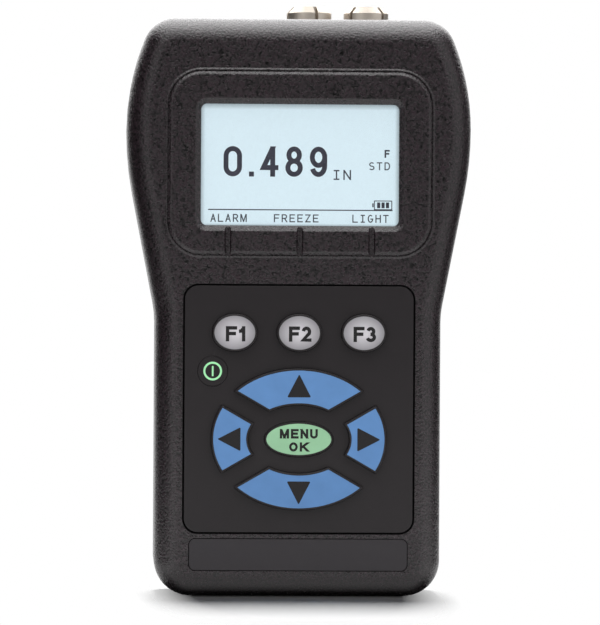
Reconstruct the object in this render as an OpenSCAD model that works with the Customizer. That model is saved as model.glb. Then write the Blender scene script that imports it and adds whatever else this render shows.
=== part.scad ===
// Handheld ultrasonic thickness gauge, standing on its foot with the face towards -Y.
// Shapes are drawn lying on the back: x across, y up the face, z out of the face.

/* [Housing] */
// Height of the housing from foot to top end
body_h = 145; // [142:0.2:154]
// Greatest width, across the display end
body_w = 86.6; // [84:0.2:94]
// Width of the grip
grip_w = 71.8; // [71:0.2:76]
// Depth from the back to the front face
body_d = 38.2; // [38:0.2:44]
// Depth of the front shell, from the seam to the front face
front_d = 14.4; // [13:0.2:17]
// Thickness of the side walls
wall = 2.4; // [2.2:0.1:2.8]
// Thickness of the front wall
face_wall = 3; // [2.8:0.1:3.4]
// Thickness of the back wall
back_wall = 2.6; // [2.4:0.1:3]
// How far the rounded edges run in across the face
edge_in = 6.2; // [5.4:0.1:6.4]
// How far the rounded edges run down the sides
edge_deep = 8; // [6:0.1:8.6]
// Radius of the foot corners
foot_r = 9; // [8.5:0.1:11]
// Radius of the bend from grip to taper
waist_r = 25; // [10:1:40]
// Slope of the taper between grip and display end
taper_a = 11; // [9:0.5:14]
// Radius of the side below the widest point
belly_r = 84; // [60:1:95]
// Radius of the side above the widest point
shoulder_r = 60; // [50:1:70]
// Turn of the side between the widest point and the top corner
shoulder_a = 22; // [18:1:26]
// Radius of the top corners
corner_r = 8.5; // [8:0.1:11]
// Chamfer along the seam between the shells
seam = 0.3; // [0.2:0.05:0.5]

/* [Display] */
// Width of the display surround
bezel_w = 67; // [64:0.2:69]
// Height of the display surround
bezel_h = 47; // [44:0.2:49]
// Corner radius of the display surround
bezel_r = 9; // [7:0.2:11]
// Distance of the middle of the surround below the top end
bezel_y = 36.5; // [35.2:0.1:37.2]
// Width of the raised lip round the surround
lip_w = 0.3; // [0.2:0.05:1]
// Height of the raised lip
lip_rise = 0.3; // [0.15:0.05:0.4]
// Width of the groove inside the lip
moat_w = 0.2; // [0.1:0.05:1]
// Depth of the groove below the face
moat_deep = 0.5; // [0.3:0.05:0.8]
// Height of the surround above the face
plateau_rise = 0.6; // [0.4:0.05:0.9]
// Edge rounding of the surround
plateau_round = 1.4; // [0.5:0.1:1.6]
// Width of the window opening
window_w = 49.6; // [46:0.2:51]
// Height of the window opening
window_h = 30.4; // [28:0.2:31.5]
// Distance of the middle of the window below the top end
window_y = 36.9; // [36.2:0.1:37.2]
// Corner radius of the window opening
window_r = 1.5; // [1:0.1:3]
// Width of the sloping edge round the window
bevel = 1.3; // [0.8:0.1:1.8]
// Depth of the sloping edge round the window
bevel_deep = 1; // [0.7:0.1:1.4]
// Thickness of the window
window_t = 1.2; // [1:0.1:1.4]
// How far the window reaches under its frame
window_land = 1.7; // [1.5:0.1:2]
// Thickness of the window gasket
gasket_t = 0.4; // [0.3:0.05:0.6]
// Thickness of the display glass
glass_t = 2.5; // [2:0.1:2.8]
// How far the display glass reaches past the window opening
glass_margin = 2.7; // [2.4:0.1:3]
// Distance between the pointer grooves
pointer_pitch = 18; // [15:0.5:19]
// Width of a pointer groove
pointer_w = 1.5; // [1:0.1:2]

/* [Keypad] */
// Width of the keypad panel
panel_w = 57.2; // [54:0.2:58]
// Height of the keypad panel
panel_h = 61.6; // [60:0.2:62]
// Height of the middle of the panel above the foot
panel_y = 47; // [46.8:0.1:47.8]
// Corner radius of the panel
panel_r = 3.4; // [2:0.2:5]
// Thickness of the panel
panel_t = 1.4; // [1.2:0.1:1.7]
// Gap round the panel
panel_gap = 0.35; // [0.3:0.05:0.6]
// Clearance round each key
key_gap = 0.25; // [0.2:0.05:0.4]
// Rim of bare key round each printed top
key_rim = 0.5; // [0.3:0.05:0.6]
// Width of the flange that holds a key in
key_flange = 0.9; // [0.7:0.1:1]
// Thickness of that flange
flange_t = 1.1; // [0.9:0.1:1.3]
// Travel of a key
key_travel = 0.7; // [0.5:0.05:0.9]
// Height of the function and arrow keys above the face
key_rise = 1.4; // [1:0.1:1.8]
// Edge rounding of the function keys
soft_edge = 0.8; // [0.4:0.1:1]
// Edge rounding of the arrow keys
arrow_edge = 0.5; // [0.3:0.1:0.8]
// Height of the menu key above the face
menu_rise = 0.6; // [0.4:0.1:0.9]
// Edge rounding of the menu key
menu_edge = 0.4; // [0.2:0.1:0.5]
// Height of the power key above the face
power_rise = 0.2; // [0.1:0.05:0.5]
// Edge rounding of the power key
power_edge = 0.2; // [0.1:0.05:0.3]
// Width of a function key
soft_w = 10.2; // [9:0.2:11]
// Height of a function key
soft_h = 8.4; // [7:0.2:9]
// Distance between function keys
soft_pitch = 16.15; // [15:0.05:16.5]
// Height of the function keys above the foot
soft_y = 66.1; // [65.8:0.1:67.8]
// Diameter of the power key
power_d = 6.4; // [5.6:0.2:6.8]
// Distance of the power key from the middle
power_x = 21.6; // [21:0.1:22.5]
// Height of the power key above the foot
power_y = 56.45; // [56.2:0.05:56.8]
// Height of the middle of the arrow keys above the foot
pad_y = 39.5; // [38.8:0.1:39.8]
// Half width of the ring of arrow keys
pad_a = 21.4; // [20:0.1:21.8]
// Half height of the ring of arrow keys
pad_b = 17.2; // [16:0.1:17.6]
// Half width of the space inside the ring
hole_a = 13.2; // [12.4:0.1:13.6]
// Half height of the space inside the ring
hole_b = 9.05; // [8.6:0.05:9.4]
// Width of the channels between arrow keys
channel_w = 5.6; // [5:0.1:6]
// Slope of the channels between arrow keys
channel_a = 30; // [28:0.5:32]
// Width of the menu key
menu_w = 16.2; // [15:0.1:17]
// Height of the menu key
menu_h = 7.8; // [7:0.1:8.4]

/* [Label] */
// Width of the label plate
label_w = 54.5; // [50:0.5:56]
// Height of the label plate
label_h = 7.8; // [6:0.2:8.2]
// Height of the middle of the label above the foot
label_y = 10.6; // [10.4:0.1:10.8]
// Corner radius of the label
label_r = 1.5; // [1:0.1:2.5]
// Thickness of the label
label_t = 0.4; // [0.3:0.05:0.6]
// Gap round the label
label_gap = 0.15; // [0.1:0.05:0.25]

/* [Sockets] */
// Distance of the first socket from the middle
socket_x = 3; // [2:0.1:5]
// Distance between the sockets
socket_pitch = 14.5; // [13:0.1:16]
// Distance of the sockets behind the middle of the depth
socket_back = 4; // [3.5:0.1:5]
// Diameter of the socket bore
socket_bore = 5; // [4:0.1:5.4]
// Depth of the socket bore
socket_deep = 6; // [5:0.1:6.5]
// Outer diameter of the threaded barrel
barrel_d = 7; // [6.6:0.1:7.4]
// Height of the barrel above the housing
barrel_rise = 3.6; // [3.2:0.1:3.8]
// Diameter of the ring nut
nut_d = 11.4; // [10.4:0.1:11.6]
// Height of the ring nut
nut_h = 3.4; // [3:0.1:3.8]
// Width of the spanner slots in the nut
slot_w = 0.9; // [0.7:0.1:1.8]
// Turn of the left nut's slots from the front
left_nut_turn = 17; // [0:1:90]
// Turn of the right nut's slots from the front
right_nut_turn = 45; // [0:1:90]
// Thickness of the washer under the nut
washer_t = 0.5; // [0.3:0.1:0.8]
// Diameter of the flange inside the wall
socket_flange_d = 10; // [9:0.1:11]

/* [Board] */
// Thickness of the main board
board_t = 1.6; // [1.2:0.1:1.8]
// Thickness of the display backlight
backlight_t = 2.2; // [2:0.1:2.6]
// Height of a key dome with its sheet
dome_h = 0.9; // [0.7:0.1:1.1]
// Gap between the board and the side walls
board_gap = 1; // [0.8:0.1:1.4]
// Width of the screening can
can_w = 30; // [26:1:32]
// Height of the screening can along the board
can_h = 20; // [16:1:22]
// Depth of the screening can
can_t = 3.6; // [3:0.1:4.2]
// Diameter of the alarm buzzer
buzzer_d = 12; // [10:0.5:13]
// Depth of the alarm buzzer
buzzer_h = 5; // [4:0.1:6]

/* [Battery] */
// Diameter of a cell
cell_d = 14.5; // [13.5:0.1:14.6]
// Length of a cell with its button
cell_l = 50.5; // [49:0.1:51]
// Clearance round the cells
cell_gap = 0.4; // [0.3:0.05:0.5]
// Length of a fitted contact spring
spring_l = 4.4; // [3.6:0.1:4.6]
// Thickness of the contact plates
contact_t = 0.4; // [0.3:0.05:0.5]
// Thickness of the battery door
door_t = 2.2; // [2:0.1:2.4]
// Gap round the battery door
door_gap = 0.2; // [0.15:0.05:0.3]
// Height of the middle of the battery door above the foot
door_y = 42; // [41.6:0.1:43]

/* [Screws] */
// Shank diameter of a housing screw
screw_d = 2.8; // [2.5:0.1:3]
// Head diameter of a housing screw
screw_head_d = 5; // [4.6:0.1:5.2]
// Clearance round a screw
screw_gap = 0.1; // [0.05:0.05:0.2]
// Shank diameter of a board screw
board_screw_d = 2; // [1.8:0.1:2.2]

/* [Hidden] */
$fn = 48;
slip = 0.1;            // clearance between pieces that slide past or lie near each other
eps = 0.5;             // overshoot of a cut past the surface it opens
half_w = body_w / 2;
half_grip = grip_w / 2;
back_z = -(body_d + key_rise) / 2;
face_z = back_z + body_d;
split_z = face_z - front_d;
floor_z = face_z - face_wall;      // inner side of the front wall
inner_back_z = back_z + back_wall; // inner side of the back wall

// Housing outline
shoulder_span = shoulder_r - corner_r;
bulge_y = body_h - corner_r - shoulder_span * sin(shoulder_a);
foot_c = [half_grip - foot_r, foot_r];
belly_c = [half_w - belly_r, bulge_y];
shoulder_c = [half_w - shoulder_r, bulge_y];
corner_c = shoulder_c + shoulder_span * [cos(shoulder_a), sin(shoulder_a)];
taper_top = belly_c + belly_r * [cos(taper_a), -sin(taper_a)];
waist_x = half_grip + waist_r;
taper_run = taper_top[0] - (waist_x - waist_r * cos(taper_a));
waist_c = [waist_x, taper_top[1] - taper_run / tan(taper_a) - waist_r * sin(taper_a)];

// Display stack, from the front wall back to the board
plateau_z = face_z + plateau_rise;
bezel_mid = body_h - bezel_y;
window_mid = body_h - window_y;
pocket_deep = 1.4;     // depth of the window's pocket in the front wall
window_front_z = floor_z + pocket_deep - gasket_t;
window_back_z = window_front_z - window_t;
glass_back_z = window_back_z - slip - glass_t;
board_z = glass_back_z - backlight_t;
board_back_z = board_z - board_t;
window_gap = 0.2;
glass_w = window_w + 2 * glass_margin;
glass_h = window_h + 2 * glass_margin;
board_foot = 14.5;
board_top = window_mid + glass_h / 2 + slip;
ribbon_w = 22;
ribbon_t = 0.25;
ribbon_out = 1.4;      // how far the ribbon stands off the edge of the glass

// Keypad
panel_back_z = face_z - panel_t;
flange_z = floor_z - slip;
flange_back_z = flange_z - flange_t;
dome_z = board_z + dome_h;
stem_d = 3;
dome_d = 5;
sheet_t = 0.3;
sheet_margin = 3;
pad_reach = [(pad_a + hole_a) / 2, (pad_b + hole_b) / 2];
key_centres = [
    [-soft_pitch, soft_y], [0, soft_y], [soft_pitch, soft_y], [-power_x, power_y],
    [0, pad_y + pad_reach[1]], [0, pad_y - pad_reach[1]],
    [-pad_reach[0], pad_y], [pad_reach[0], pad_y], [0, pad_y]
];

// Posts and screws
post_d = 6.8;
post_sink = 0.6;       // how far a post runs into the wall that carries it
hole_floor = 1;        // what a blind screw hole leaves standing
tip_gap = 0.5;         // room beyond the tip of a screw
top_post_in = 10;
top_post_down = 13.5;
foot_post_in = 7.4;
foot_post_up = 1.5;
post_places = [
    for (side = [-1, 1]) [side * (half_w - top_post_in), body_h - top_post_down],
    for (side = [-1, 1]) [side * (half_grip - foot_post_in), foot_r + foot_post_up]
];
head_h = 1.9;
head_sink = 3;         // depth of a screw head's seat below the back
head_seat_z = back_z + head_sink;
post_hole_z = floor_z - 2;
screw_end_z = post_hole_z - tip_gap;
boss_d = 4.8;
board_head_d = 3.8;
board_head_h = 1.4;
foot_boss_in = 9.4;
foot_boss_up = 4.8;
mid_boss_in = 7.4;
mid_boss_down = 8.4;   // below the lower edge of the display
top_boss_in = 9.8;
top_boss_up = 11.7;    // above the middle of the window
boss_places = [
    for (side = [-1, 1]) [side * (half_grip - foot_boss_in), board_foot + foot_boss_up],
    for (side = [-1, 1]) [side * (half_grip - mid_boss_in), window_mid - glass_h / 2 - mid_boss_down],
    for (side = [-1, 1]) [side * (half_w - top_boss_in), window_mid + top_boss_up]
];

// Parts on the back of the board, placed from the top end
can_x = 8;
can_down = 43.2;
can_r = 1.5;
can_sheet = 0.4;
buzzer_x = 20;
buzzer_down = 33.2;
buzzer_hole_d = 2;
processor_w = 14;
processor_t = 1.4;
processor_down = 63.2;
chip_w = 9;
chip_h = 6;
chip_t = 1.2;
chip_x = 16.5;
chip_step = 13;

// Seam gasket
seal_in = 0.9;
seal_w = 1.1;
seal_deep = 1;

// Battery well
well_w = 3 * cell_d + 4 * cell_gap;
well_l = cell_l + spring_l + 2 * contact_t + cell_gap;
well_r = 2;
well_wall = 1.6;
land_z = back_z + door_t;
land_t = 2.2;
cell_z = land_z + cell_gap + cell_d / 2;
well_top_z = cell_z + cell_d / 2 + cell_gap;
well_foot = door_y - well_l / 2;
door_side = 2;         // how far the door reaches past the sides of the well
door_end = 7;          // how far it reaches past the ends
door_w = well_w + 2 * door_side;
door_h = well_l + 2 * door_end;
door_r = 4;
door_edge = 0.4;
door_screw_out = 3.8;
door_screw_y = well_l / 2 + door_screw_out;
door_head_h = 1.2;
door_seat_z = back_z + door_head_h + slip;
door_boss_d = 6;
door_boss_h = 9;
door_seal_in = 0.5;
door_seal_w = 1;
door_seal_deep = 0.8;
land_rim = 2;
cell_pitch = cell_d + cell_gap;
cell_edge = 0.4;
button_d = 5.5;
button_h = 1;
spring_wide = 9.2;
spring_narrow = 5.6;
spring_wire = 0.8;
spring_turns = 3;
plate_w = well_w - 2 * (well_r + cell_pitch + slip);
plate_h = 10;
tab_w = 3;
tab_t = 0.4;
tab_out = 1;

// Sockets
socket_z = -socket_back;
socket_places = [socket_x, socket_x + socket_pitch];
socket_flange_t = 1.6;
barrel_back = 11;
barrel_step = 0.3;     // chamfer of the barrel, and step down to its rear part
core_d = 3.8;
bore_floor = barrel_rise - socket_deep;
nut_chamfer = 1.6;
washer_in = 0.4;       // how far the washer stays inside the nut
contact_d = 1.1;
contact_deep = 3;

// Leads
coax_d = 1.8;
coax_run = 3;          // straight run out of a socket
coax_reach = 11.3;
coax_rise = 8;
lead_d = 1.3;
lead_reach = 4;        // bend of a battery lead out of its contact
lead_rise = 5;
lead_in = 3;           // place of the lower lead on the board, from the board's foot
lead_clear = 1.7;      // height at which the lower lead passes over the well
lead_stub = 1.3;

housing_colour = "#34312f";
rubber_colour = "#343135";
blue_colour = "#618abd";
grey_colour = "#a2a2a6";
green_colour = "#95c39d";
nickel_colour = "#aea498";
steel_colour = "#b8babd";
seal_colour = "#202022";

// Turns what is drawn lying on its back to stand on its foot
module upright() {
    rotate([90, 0, 0]) children();
}

// Points on an arc, leaving out the first `skip` of them
function arc(c, r, a0, a1, n, skip = 0) =
    [for (i = [skip:n]) let (a = a0 + (a1 - a0) * i / n) c + r * [cos(a), sin(a)]];

// A closed ring from the points of its right half, going up
function both_sides(right) =
    concat(right, [for (i = [len(right) - 1:-1:0]) [-right[i][0], right[i][1]]]);

function shifted(ring, by) = [for (p = ring) p + by];
function at_z(ring, z) = [for (p = ring) [p[0], p[1], z]];

// Housing outline, moved in by d
function outline(d) = both_sides(concat(
    arc(foot_c, foot_r - d, -90, 0, 6),
    arc(waist_c, waist_r + d, 180, 180 - taper_a, 2),
    arc(belly_c, belly_r - d, -taper_a, 0, 3),
    arc(shoulder_c, shoulder_r - d, 0, shoulder_a, 4, 1),
    arc(corner_c, corner_r - d, shoulder_a, 90, 6, 1)
));

// Rectangle with round corners about [0, y]
function round_rect(w, h, r, y = 0) = both_sides(concat(
    arc([w / 2 - r, y - h / 2 + r], r, -90, 0, 6),
    arc([w / 2 - r, y + h / 2 - r], r, 0, 90, 6)
));

// Ellipse with half axes a and b about the centre c
function ellipse(a, b, c, n = 18) = shifted(both_sides(
    [for (i = [0:n - 1]) let (t = -90 + (i + 0.5) * 180 / n) [a * cos(t), b * sin(t)]]), c);

// Angle on an ellipse at which it crosses the edge of a channel, on either side of the channel
function crossing(a, b, d, side) =
    let (across = a * sin(channel_a), along = b * cos(channel_a))
    atan2(across, along) + side * asin((channel_w / 2 + d) / norm([across, along]));

// Part of an ellipse ring between two angles, as a closed ring of points
function ring_part(outer, inner, outer_a, inner_a, middle, n = 12) =
    concat(
        [for (i = [0:n]) let (t = middle - outer_a + 2 * outer_a * i / n)
            [outer[0] * cos(t), outer[1] * sin(t)]],
        [for (i = [n:-1:0]) let (t = middle - inner_a + 2 * inner_a * i / n)
            [inner[0] * cos(t), inner[1] * sin(t)]]
    );

// Outline of an upper or lower arrow key, moved in by d
function tall_arrow(d, middle) =
    let (outer = [pad_a - d, pad_b - d], inner = [hole_a + d, hole_b + d])
    shifted(ring_part(outer, inner, 90 - crossing(outer[0], outer[1], d, 1),
        90 - crossing(inner[0], inner[1], d, 1), middle), [0, pad_y]);

// Outline of a left or right arrow key, moved in by d
function wide_arrow(d, middle) =
    let (outer = [pad_a - d, pad_b - d], inner = [hole_a + d, hole_b + d])
    shifted(ring_part(outer, inner, crossing(outer[0], outer[1], d, -1),
        crossing(inner[0], inner[1], d, -1), middle), [0, pad_y]);

// Outline of each key, moved in by d from its printed top
function key_outline(key, d) =
    key < 3 ? ellipse(soft_w / 2 - d, soft_h / 2 - d, key_centres[key]) :
    key == 3 ? ellipse(power_d / 2 - d, power_d / 2 - d, key_centres[key]) :
    key == 4 ? tall_arrow(d, 90) :
    key == 5 ? tall_arrow(d, 270) :
    key == 6 ? wide_arrow(d, 180) :
    key == 7 ? wide_arrow(d, 0) :
    ellipse(menu_w / 2 - d, menu_h / 2 - d, key_centres[key]);

// Solid through rings of points, each with as many points as the next
module loft(rings) {
    n = len(rings[0]);
    last = (len(rings) - 1) * n;
    sides = [
        for (k = [0:n:last - n]) for (i = [0:n - 1])
            let (j = (i + 1) % n) [k + i, k + n + i, k + n + j, k + j]
    ];
    low_cap = [for (i = [0:n / 2 - 2]) [i, i + 1, n - 2 - i, n - 1 - i]];
    high_cap = [for (f = low_cap) [for (i = [3:-1:0]) last + f[i]]];
    polyhedron([for (r = rings) each r], concat(sides, low_cap, high_cap), convexity = 6);
}

module prism(ring, z0, z1) {
    translate([0, 0, z0]) linear_extrude(z1 - z0) polygon(ring);
}

module frame_prism(outer, inner, z0, z1) {
    translate([0, 0, z0]) linear_extrude(z1 - z0) difference() {
        polygon(outer);
        polygon(inner);
    }
}

// Round bar from z0 to z1
module bar(place, d, z0, z1) {
    translate([place[0], place[1], z0]) cylinder(d = d, h = z1 - z0);
}

function unit(v) = v / norm(v);

// Quarter bend between two [y, z] points, leaving the first along y, or along z
function bend(a, b, z_first = false, n = 5) =
    [for (i = [0:n]) let (t = 90 * i / n, s = z_first ? [1 - cos(t), sin(t)] : [sin(t), 1 - cos(t)])
        [a[0] + (b[0] - a[0]) * s[0], a[1] + (b[1] - a[1]) * s[1]]];

// Round lead in a plane across x, through [y, z] points
module lead(x, route, d) {
    last = len(route) - 1;
    rings = [
        for (i = [0:last])
            let (
                along = unit(route[min(i + 1, last)] - route[max(i - 1, 0)]),
                side = [-along[1], along[0]]
            )
            [for (k = [0:7]) let (a = (k + 0.5) * 45)
                [x + d / 2 * cos(a), route[i][0] + d / 2 * sin(a) * side[0],
                    route[i][1] + d / 2 * sin(a) * side[1]]]
    ];
    loft(rings);
}

// Distance in from the outline and height along the rounded edge at the turn t
function edge_ring(t, start, run, z, deep) = at_z(outline(start + run * (1 - cos(t))), z + deep * sin(t));

module front_solid() {
    loft(concat(
        [at_z(outline(seam), split_z), at_z(outline(0), split_z + seam)],
        [for (t = [0:15:90]) edge_ring(t, 0, edge_in, face_z - edge_deep, edge_deep)]
    ));
}

module front_hollow() {
    loft(concat(
        [at_z(outline(wall), split_z - eps)],
        [for (t = [0:30:90]) edge_ring(t, wall, edge_in - wall, face_z - edge_deep, edge_deep - face_wall)]
    ));
}

module rear_solid() {
    loft(concat(
        [for (t = [90:-15:0]) edge_ring(t, 0, edge_in, back_z + edge_deep, -edge_deep)],
        [at_z(outline(0), split_z - seam), at_z(outline(seam), split_z)]
    ));
}

module rear_hollow() {
    loft(concat(
        [for (t = [90:-30:0]) edge_ring(t, wall, edge_in - wall, back_z + edge_deep, back_wall - edge_deep)],
        [at_z(outline(wall), split_z + eps)]
    ));
}

// Raised display surround inside its groove
module plateau() {
    inset = lip_w + moat_w;
    function ring(d, z) = at_z(round_rect(bezel_w - 2 * d, bezel_h - 2 * d, bezel_r - d, bezel_mid), z);
    loft(concat(
        [ring(inset, floor_z + eps)],
        [for (t = [0:30:90])
            ring(inset + plateau_round * (1 - cos(t)), plateau_z - plateau_round * (1 - sin(t)))]
    ));
}

module lip() {
    function ring(d, z) = at_z(round_rect(bezel_w + 2 * d, bezel_h + 2 * d, bezel_r + d, bezel_mid), z);
    loft([
        ring(lip_rise, face_z - moat_deep - eps), ring(lip_rise, face_z),
        ring(0, face_z + lip_rise), ring(-lip_w / 2, face_z + lip_rise)
    ]);
}

module moat() {
    prism(round_rect(bezel_w - 2 * lip_w, bezel_h - 2 * lip_w, bezel_r - lip_w, bezel_mid),
        face_z - moat_deep, plateau_z + eps);
}

module window_opening() {
    function ring(d, z) = at_z(round_rect(window_w + 2 * d, window_h + 2 * d, window_r + d, window_mid), z);
    spread = bevel * eps / bevel_deep;
    loft([
        ring(0, floor_z - eps), ring(0, plateau_z - bevel_deep),
        ring(bevel, plateau_z), ring(bevel + spread, plateau_z + eps)
    ]);
    land = window_land + window_gap;
    prism(round_rect(window_w + 2 * land, window_h + 2 * land, window_r + land, window_mid),
        floor_z - eps, window_front_z + gasket_t);
}

module pointer_grooves() {
    low = bezel_mid - bezel_h / 2;
    high = window_mid - window_h / 2;
    for (i = [-1:1])
        translate([i * pointer_pitch, 0, 0])
            prism(round_rect(pointer_w, high - low, pointer_w / 2 - slip / 10, (high + low) / 2),
                face_z - moat_deep, plateau_z + eps);
}

module front_housing() {
    color(housing_colour) upright() difference() {
        union() {
            difference() {
                union() {
                    difference() {
                        front_solid();
                        front_hollow();
                    }
                    lip();
                }
                moat();
            }
            plateau();
            for (p = post_places) bar(p, post_d, split_z, floor_z + post_sink);
            for (p = boss_places) bar(p, boss_d, board_z, floor_z + post_sink);
        }
        window_opening();
        pointer_grooves();
        prism(round_rect(panel_w + 2 * panel_gap, panel_h + 2 * panel_gap, panel_r + panel_gap, panel_y),
            panel_back_z, plateau_z + eps);
        for (key = [0:8]) prism(key_outline(key, -key_rim - key_gap), floor_z - eps, panel_back_z + eps);
        prism(round_rect(label_w + 2 * label_gap, label_h + 2 * label_gap, label_r + label_gap, label_y),
            face_z - label_t, face_z + eps);
        for (p = post_places) bar(p, screw_d + screw_gap, split_z - eps, post_hole_z);
        for (p = boss_places) bar(p, board_screw_d + screw_gap, board_z - eps, floor_z - hole_floor);
    }
}

module rear_housing() {
    color(housing_colour) upright() difference() {
        union() {
            difference() {
                rear_solid();
                rear_hollow();
            }
            prism(round_rect(door_w + 2 * land_rim, door_h + 2 * land_rim, door_r + land_rim, door_y),
                land_z - eps, land_z + land_t);
            prism(round_rect(well_w + 2 * well_wall, well_l + 2 * well_wall, well_r + well_wall, door_y),
                land_z, well_top_z + well_wall);
            for (side = [-1, 1])
                bar([0, door_y + side * door_screw_y], door_boss_d, land_z, land_z + door_boss_h);
            for (p = post_places) bar(p, post_d, inner_back_z - post_sink, split_z);
        }
        prism(round_rect(door_w + 2 * door_gap, door_h + 2 * door_gap, door_r + door_gap, door_y),
            back_z - eps, land_z);
        prism(round_rect(well_w, well_l, well_r, door_y), land_z - eps, well_top_z);
        battery_door_seal_ring(land_z - eps, land_z + door_seal_deep);
        for (side = [-1, 1])
            bar([0, door_y + side * door_screw_y], screw_d + screw_gap, land_z - eps,
                land_z + door_boss_h - hole_floor);
        for (p = post_places) {
            bar(p, screw_d + 4 * screw_gap, back_z, split_z + eps);
            bar(p, screw_head_d + 4 * screw_gap, back_z - eps, head_seat_z);
        }
        seam_ring(split_z - seal_deep, split_z + eps);
        for (x = socket_places)
            translate([x, body_h + eps, socket_z]) rotate([90, 0, 0])
                cylinder(d = barrel_d + 2 * slip, h = wall + 2 * eps);
        lead_slots();
    }
}

// Slots in the ends of the battery well for the tabs of the contact plates
module lead_slots() {
    for (side = [-1, 1])
        translate([-side * cell_pitch, door_y + side * (well_l + well_wall) / 2, cell_z])
            cube([tab_w + 2 * slip, well_wall + 2 * eps, tab_t + 2 * slip], center = true);
}

module seam_ring(z0, z1) {
    frame_prism(outline(seal_in), outline(seal_in + seal_w), z0, z1);
}

module housing_gasket() {
    color(seal_colour) upright() seam_ring(split_z - seal_deep, split_z);
}

// Socket-head screw pointing into the face, with its seat at z0
module screw(place, d, head_d, head, z0, z1) {
    socket_share = 0.45;
    difference() {
        union() {
            bar(place, d, z0 - head / 2, z1);
            bar(place, head_d, z0 - head, z0);
        }
        translate([place[0], place[1], z0 - head - eps])
            cylinder(d = head_d * socket_share, h = head * socket_share + eps, $fn = 6);
    }
}

module housing_screws() {
    color(steel_colour) upright()
        for (p = post_places) screw(p, screw_d, screw_head_d, head_h, head_seat_z, screw_end_z);
}

module window_plate(land, z0, z1) {
    prism(round_rect(window_w + 2 * land, window_h + 2 * land, window_r + land, window_mid), z0, z1);
}

module display_window() {
    color("#dfeef2") upright() window_plate(window_land, window_back_z, window_front_z);
}

module window_gasket() {
    color(seal_colour) upright() difference() {
        window_plate(window_land, window_front_z, window_front_z + gasket_t);
        window_plate(window_gap, window_front_z - eps, window_front_z + gasket_t + eps);
    }
}

module display_block(z0, z1) {
    translate([-glass_w / 2, window_mid - glass_h / 2, z0]) cube([glass_w, glass_h, z1 - z0]);
}

module display_glass() {
    color("#d9edf6") upright() display_block(glass_back_z, glass_back_z + glass_t);
}

module display_backlight() {
    color("#eef2f2") upright() display_block(board_z, glass_back_z);
}

// Flat cable from the lower edge of the glass down to the board
module display_ribbon() {
    out = ribbon_out;
    edge_y = window_mid - glass_h / 2;
    high = glass_back_z + glass_t / 2;
    drop = high - board_z;
    function edge(d) = [
        [edge_y, high + d], [edge_y - out * 0.6, high + d], [edge_y - out - d, high - out * 0.4],
        [edge_y - out - d, board_z + drop * 0.3], [edge_y - out * 1.3 - d, board_z + d],
        [edge_y - out * 2.2, board_z + d]
    ];
    upper = edge(ribbon_t);
    lower = edge(0);
    color("#b5762e") upright()
        translate([-ribbon_w / 2, 0, 0]) rotate([90, 0, 90]) linear_extrude(ribbon_w)
            polygon(concat(lower, [for (i = [len(upper) - 1:-1:0]) upper[i]]));
}

module keypad_panel() {
    color(rubber_colour) upright() translate([0, 0, panel_back_z]) linear_extrude(panel_t) difference() {
        polygon(round_rect(panel_w, panel_h, panel_r, panel_y));
        for (key = [0:8]) polygon(key_outline(key, -key_rim - key_gap));
    }
}

// A key: raised top with rounded edge, body through the wall, holding flange and stem
module key_solid(key, rise, edge) {
    top_z = face_z + rise;
    upright() union() {
        loft(concat(
            [at_z(key_outline(key, -key_rim), flange_back_z + flange_t / 2)],
            [for (t = [0:30:90])
                at_z(key_outline(key, -key_rim + edge * (1 - cos(t))), top_z - edge * (1 - sin(t)))]
        ));
        prism(key_outline(key, -key_rim - key_flange), flange_back_z, flange_z);
        bar(key_centres[key], stem_d, dome_z + key_travel + slip, flange_back_z + flange_t / 2);
    }
}

module function_key_1() { color(grey_colour) key_solid(0, key_rise, soft_edge); }
module function_key_2() { color(grey_colour) key_solid(1, key_rise, soft_edge); }
module function_key_3() { color(grey_colour) key_solid(2, key_rise, soft_edge); }
module power_key() { color(rubber_colour) key_solid(3, power_rise, power_edge); }
module up_key() { color(blue_colour) key_solid(4, key_rise, arrow_edge); }
module down_key() { color(blue_colour) key_solid(5, key_rise, arrow_edge); }
module left_key() { color(blue_colour) key_solid(6, key_rise, arrow_edge); }
module right_key() { color(blue_colour) key_solid(7, key_rise, arrow_edge); }
module menu_key() { color(green_colour) key_solid(8, menu_rise, menu_edge); }

// Sheet on the board with a snap dome under each key
module dome_sheet() {
    low = pad_y - pad_b - sheet_margin / 2;
    high = soft_y + soft_h / 2 + sheet_margin / 2;
    half = pad_a + sheet_margin;
    color("#c9ccd0") upright() union() {
        prism(round_rect(2 * half, high - low, sheet_margin / 2, (high + low) / 2),
            board_z, board_z + sheet_t);
        for (c = key_centres)
            translate([c[0], c[1], board_z + sheet_t / 2])
                cylinder(d1 = dome_d, d2 = dome_d / 2, h = dome_h - sheet_t / 2);
    }
}

module label_plate() {
    color("#403c40") upright()
        prism(round_rect(label_w, label_h, label_r, label_y), face_z - label_t, face_z);
}

module main_board() {
    color("#2f6b45") upright() difference() {
        intersection() {
            prism(outline(wall + board_gap), board_back_z, board_z);
            translate([-half_w, board_foot, board_back_z - eps])
                cube([body_w, board_top - board_foot, board_t + 2 * eps]);
        }
        for (p = boss_places) bar(p, board_screw_d + 4 * screw_gap, board_back_z - eps, board_z + eps);
    }
}

module board_screws() {
    color(steel_colour) upright()
        for (p = boss_places)
            screw(p, board_screw_d, board_head_d, board_head_h, board_back_z, floor_z - hole_floor - tip_gap);
}

// Processor and two smaller chips on the back of the board, each [x, y, width, height, thickness]
module board_chips() {
    y = body_h - processor_down;
    chips = [
        [0, y, processor_w, processor_w, processor_t],
        [chip_x, y, chip_w, chip_h, chip_t], [-chip_x, y + chip_step, chip_w, chip_h, chip_t]
    ];
    color("#26282b") upright()
        for (c = chips)
            translate([c[0] - c[2] / 2, c[1] - c[3] / 2, board_back_z - c[4]]) cube([c[2], c[3], c[4]]);
}

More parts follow.
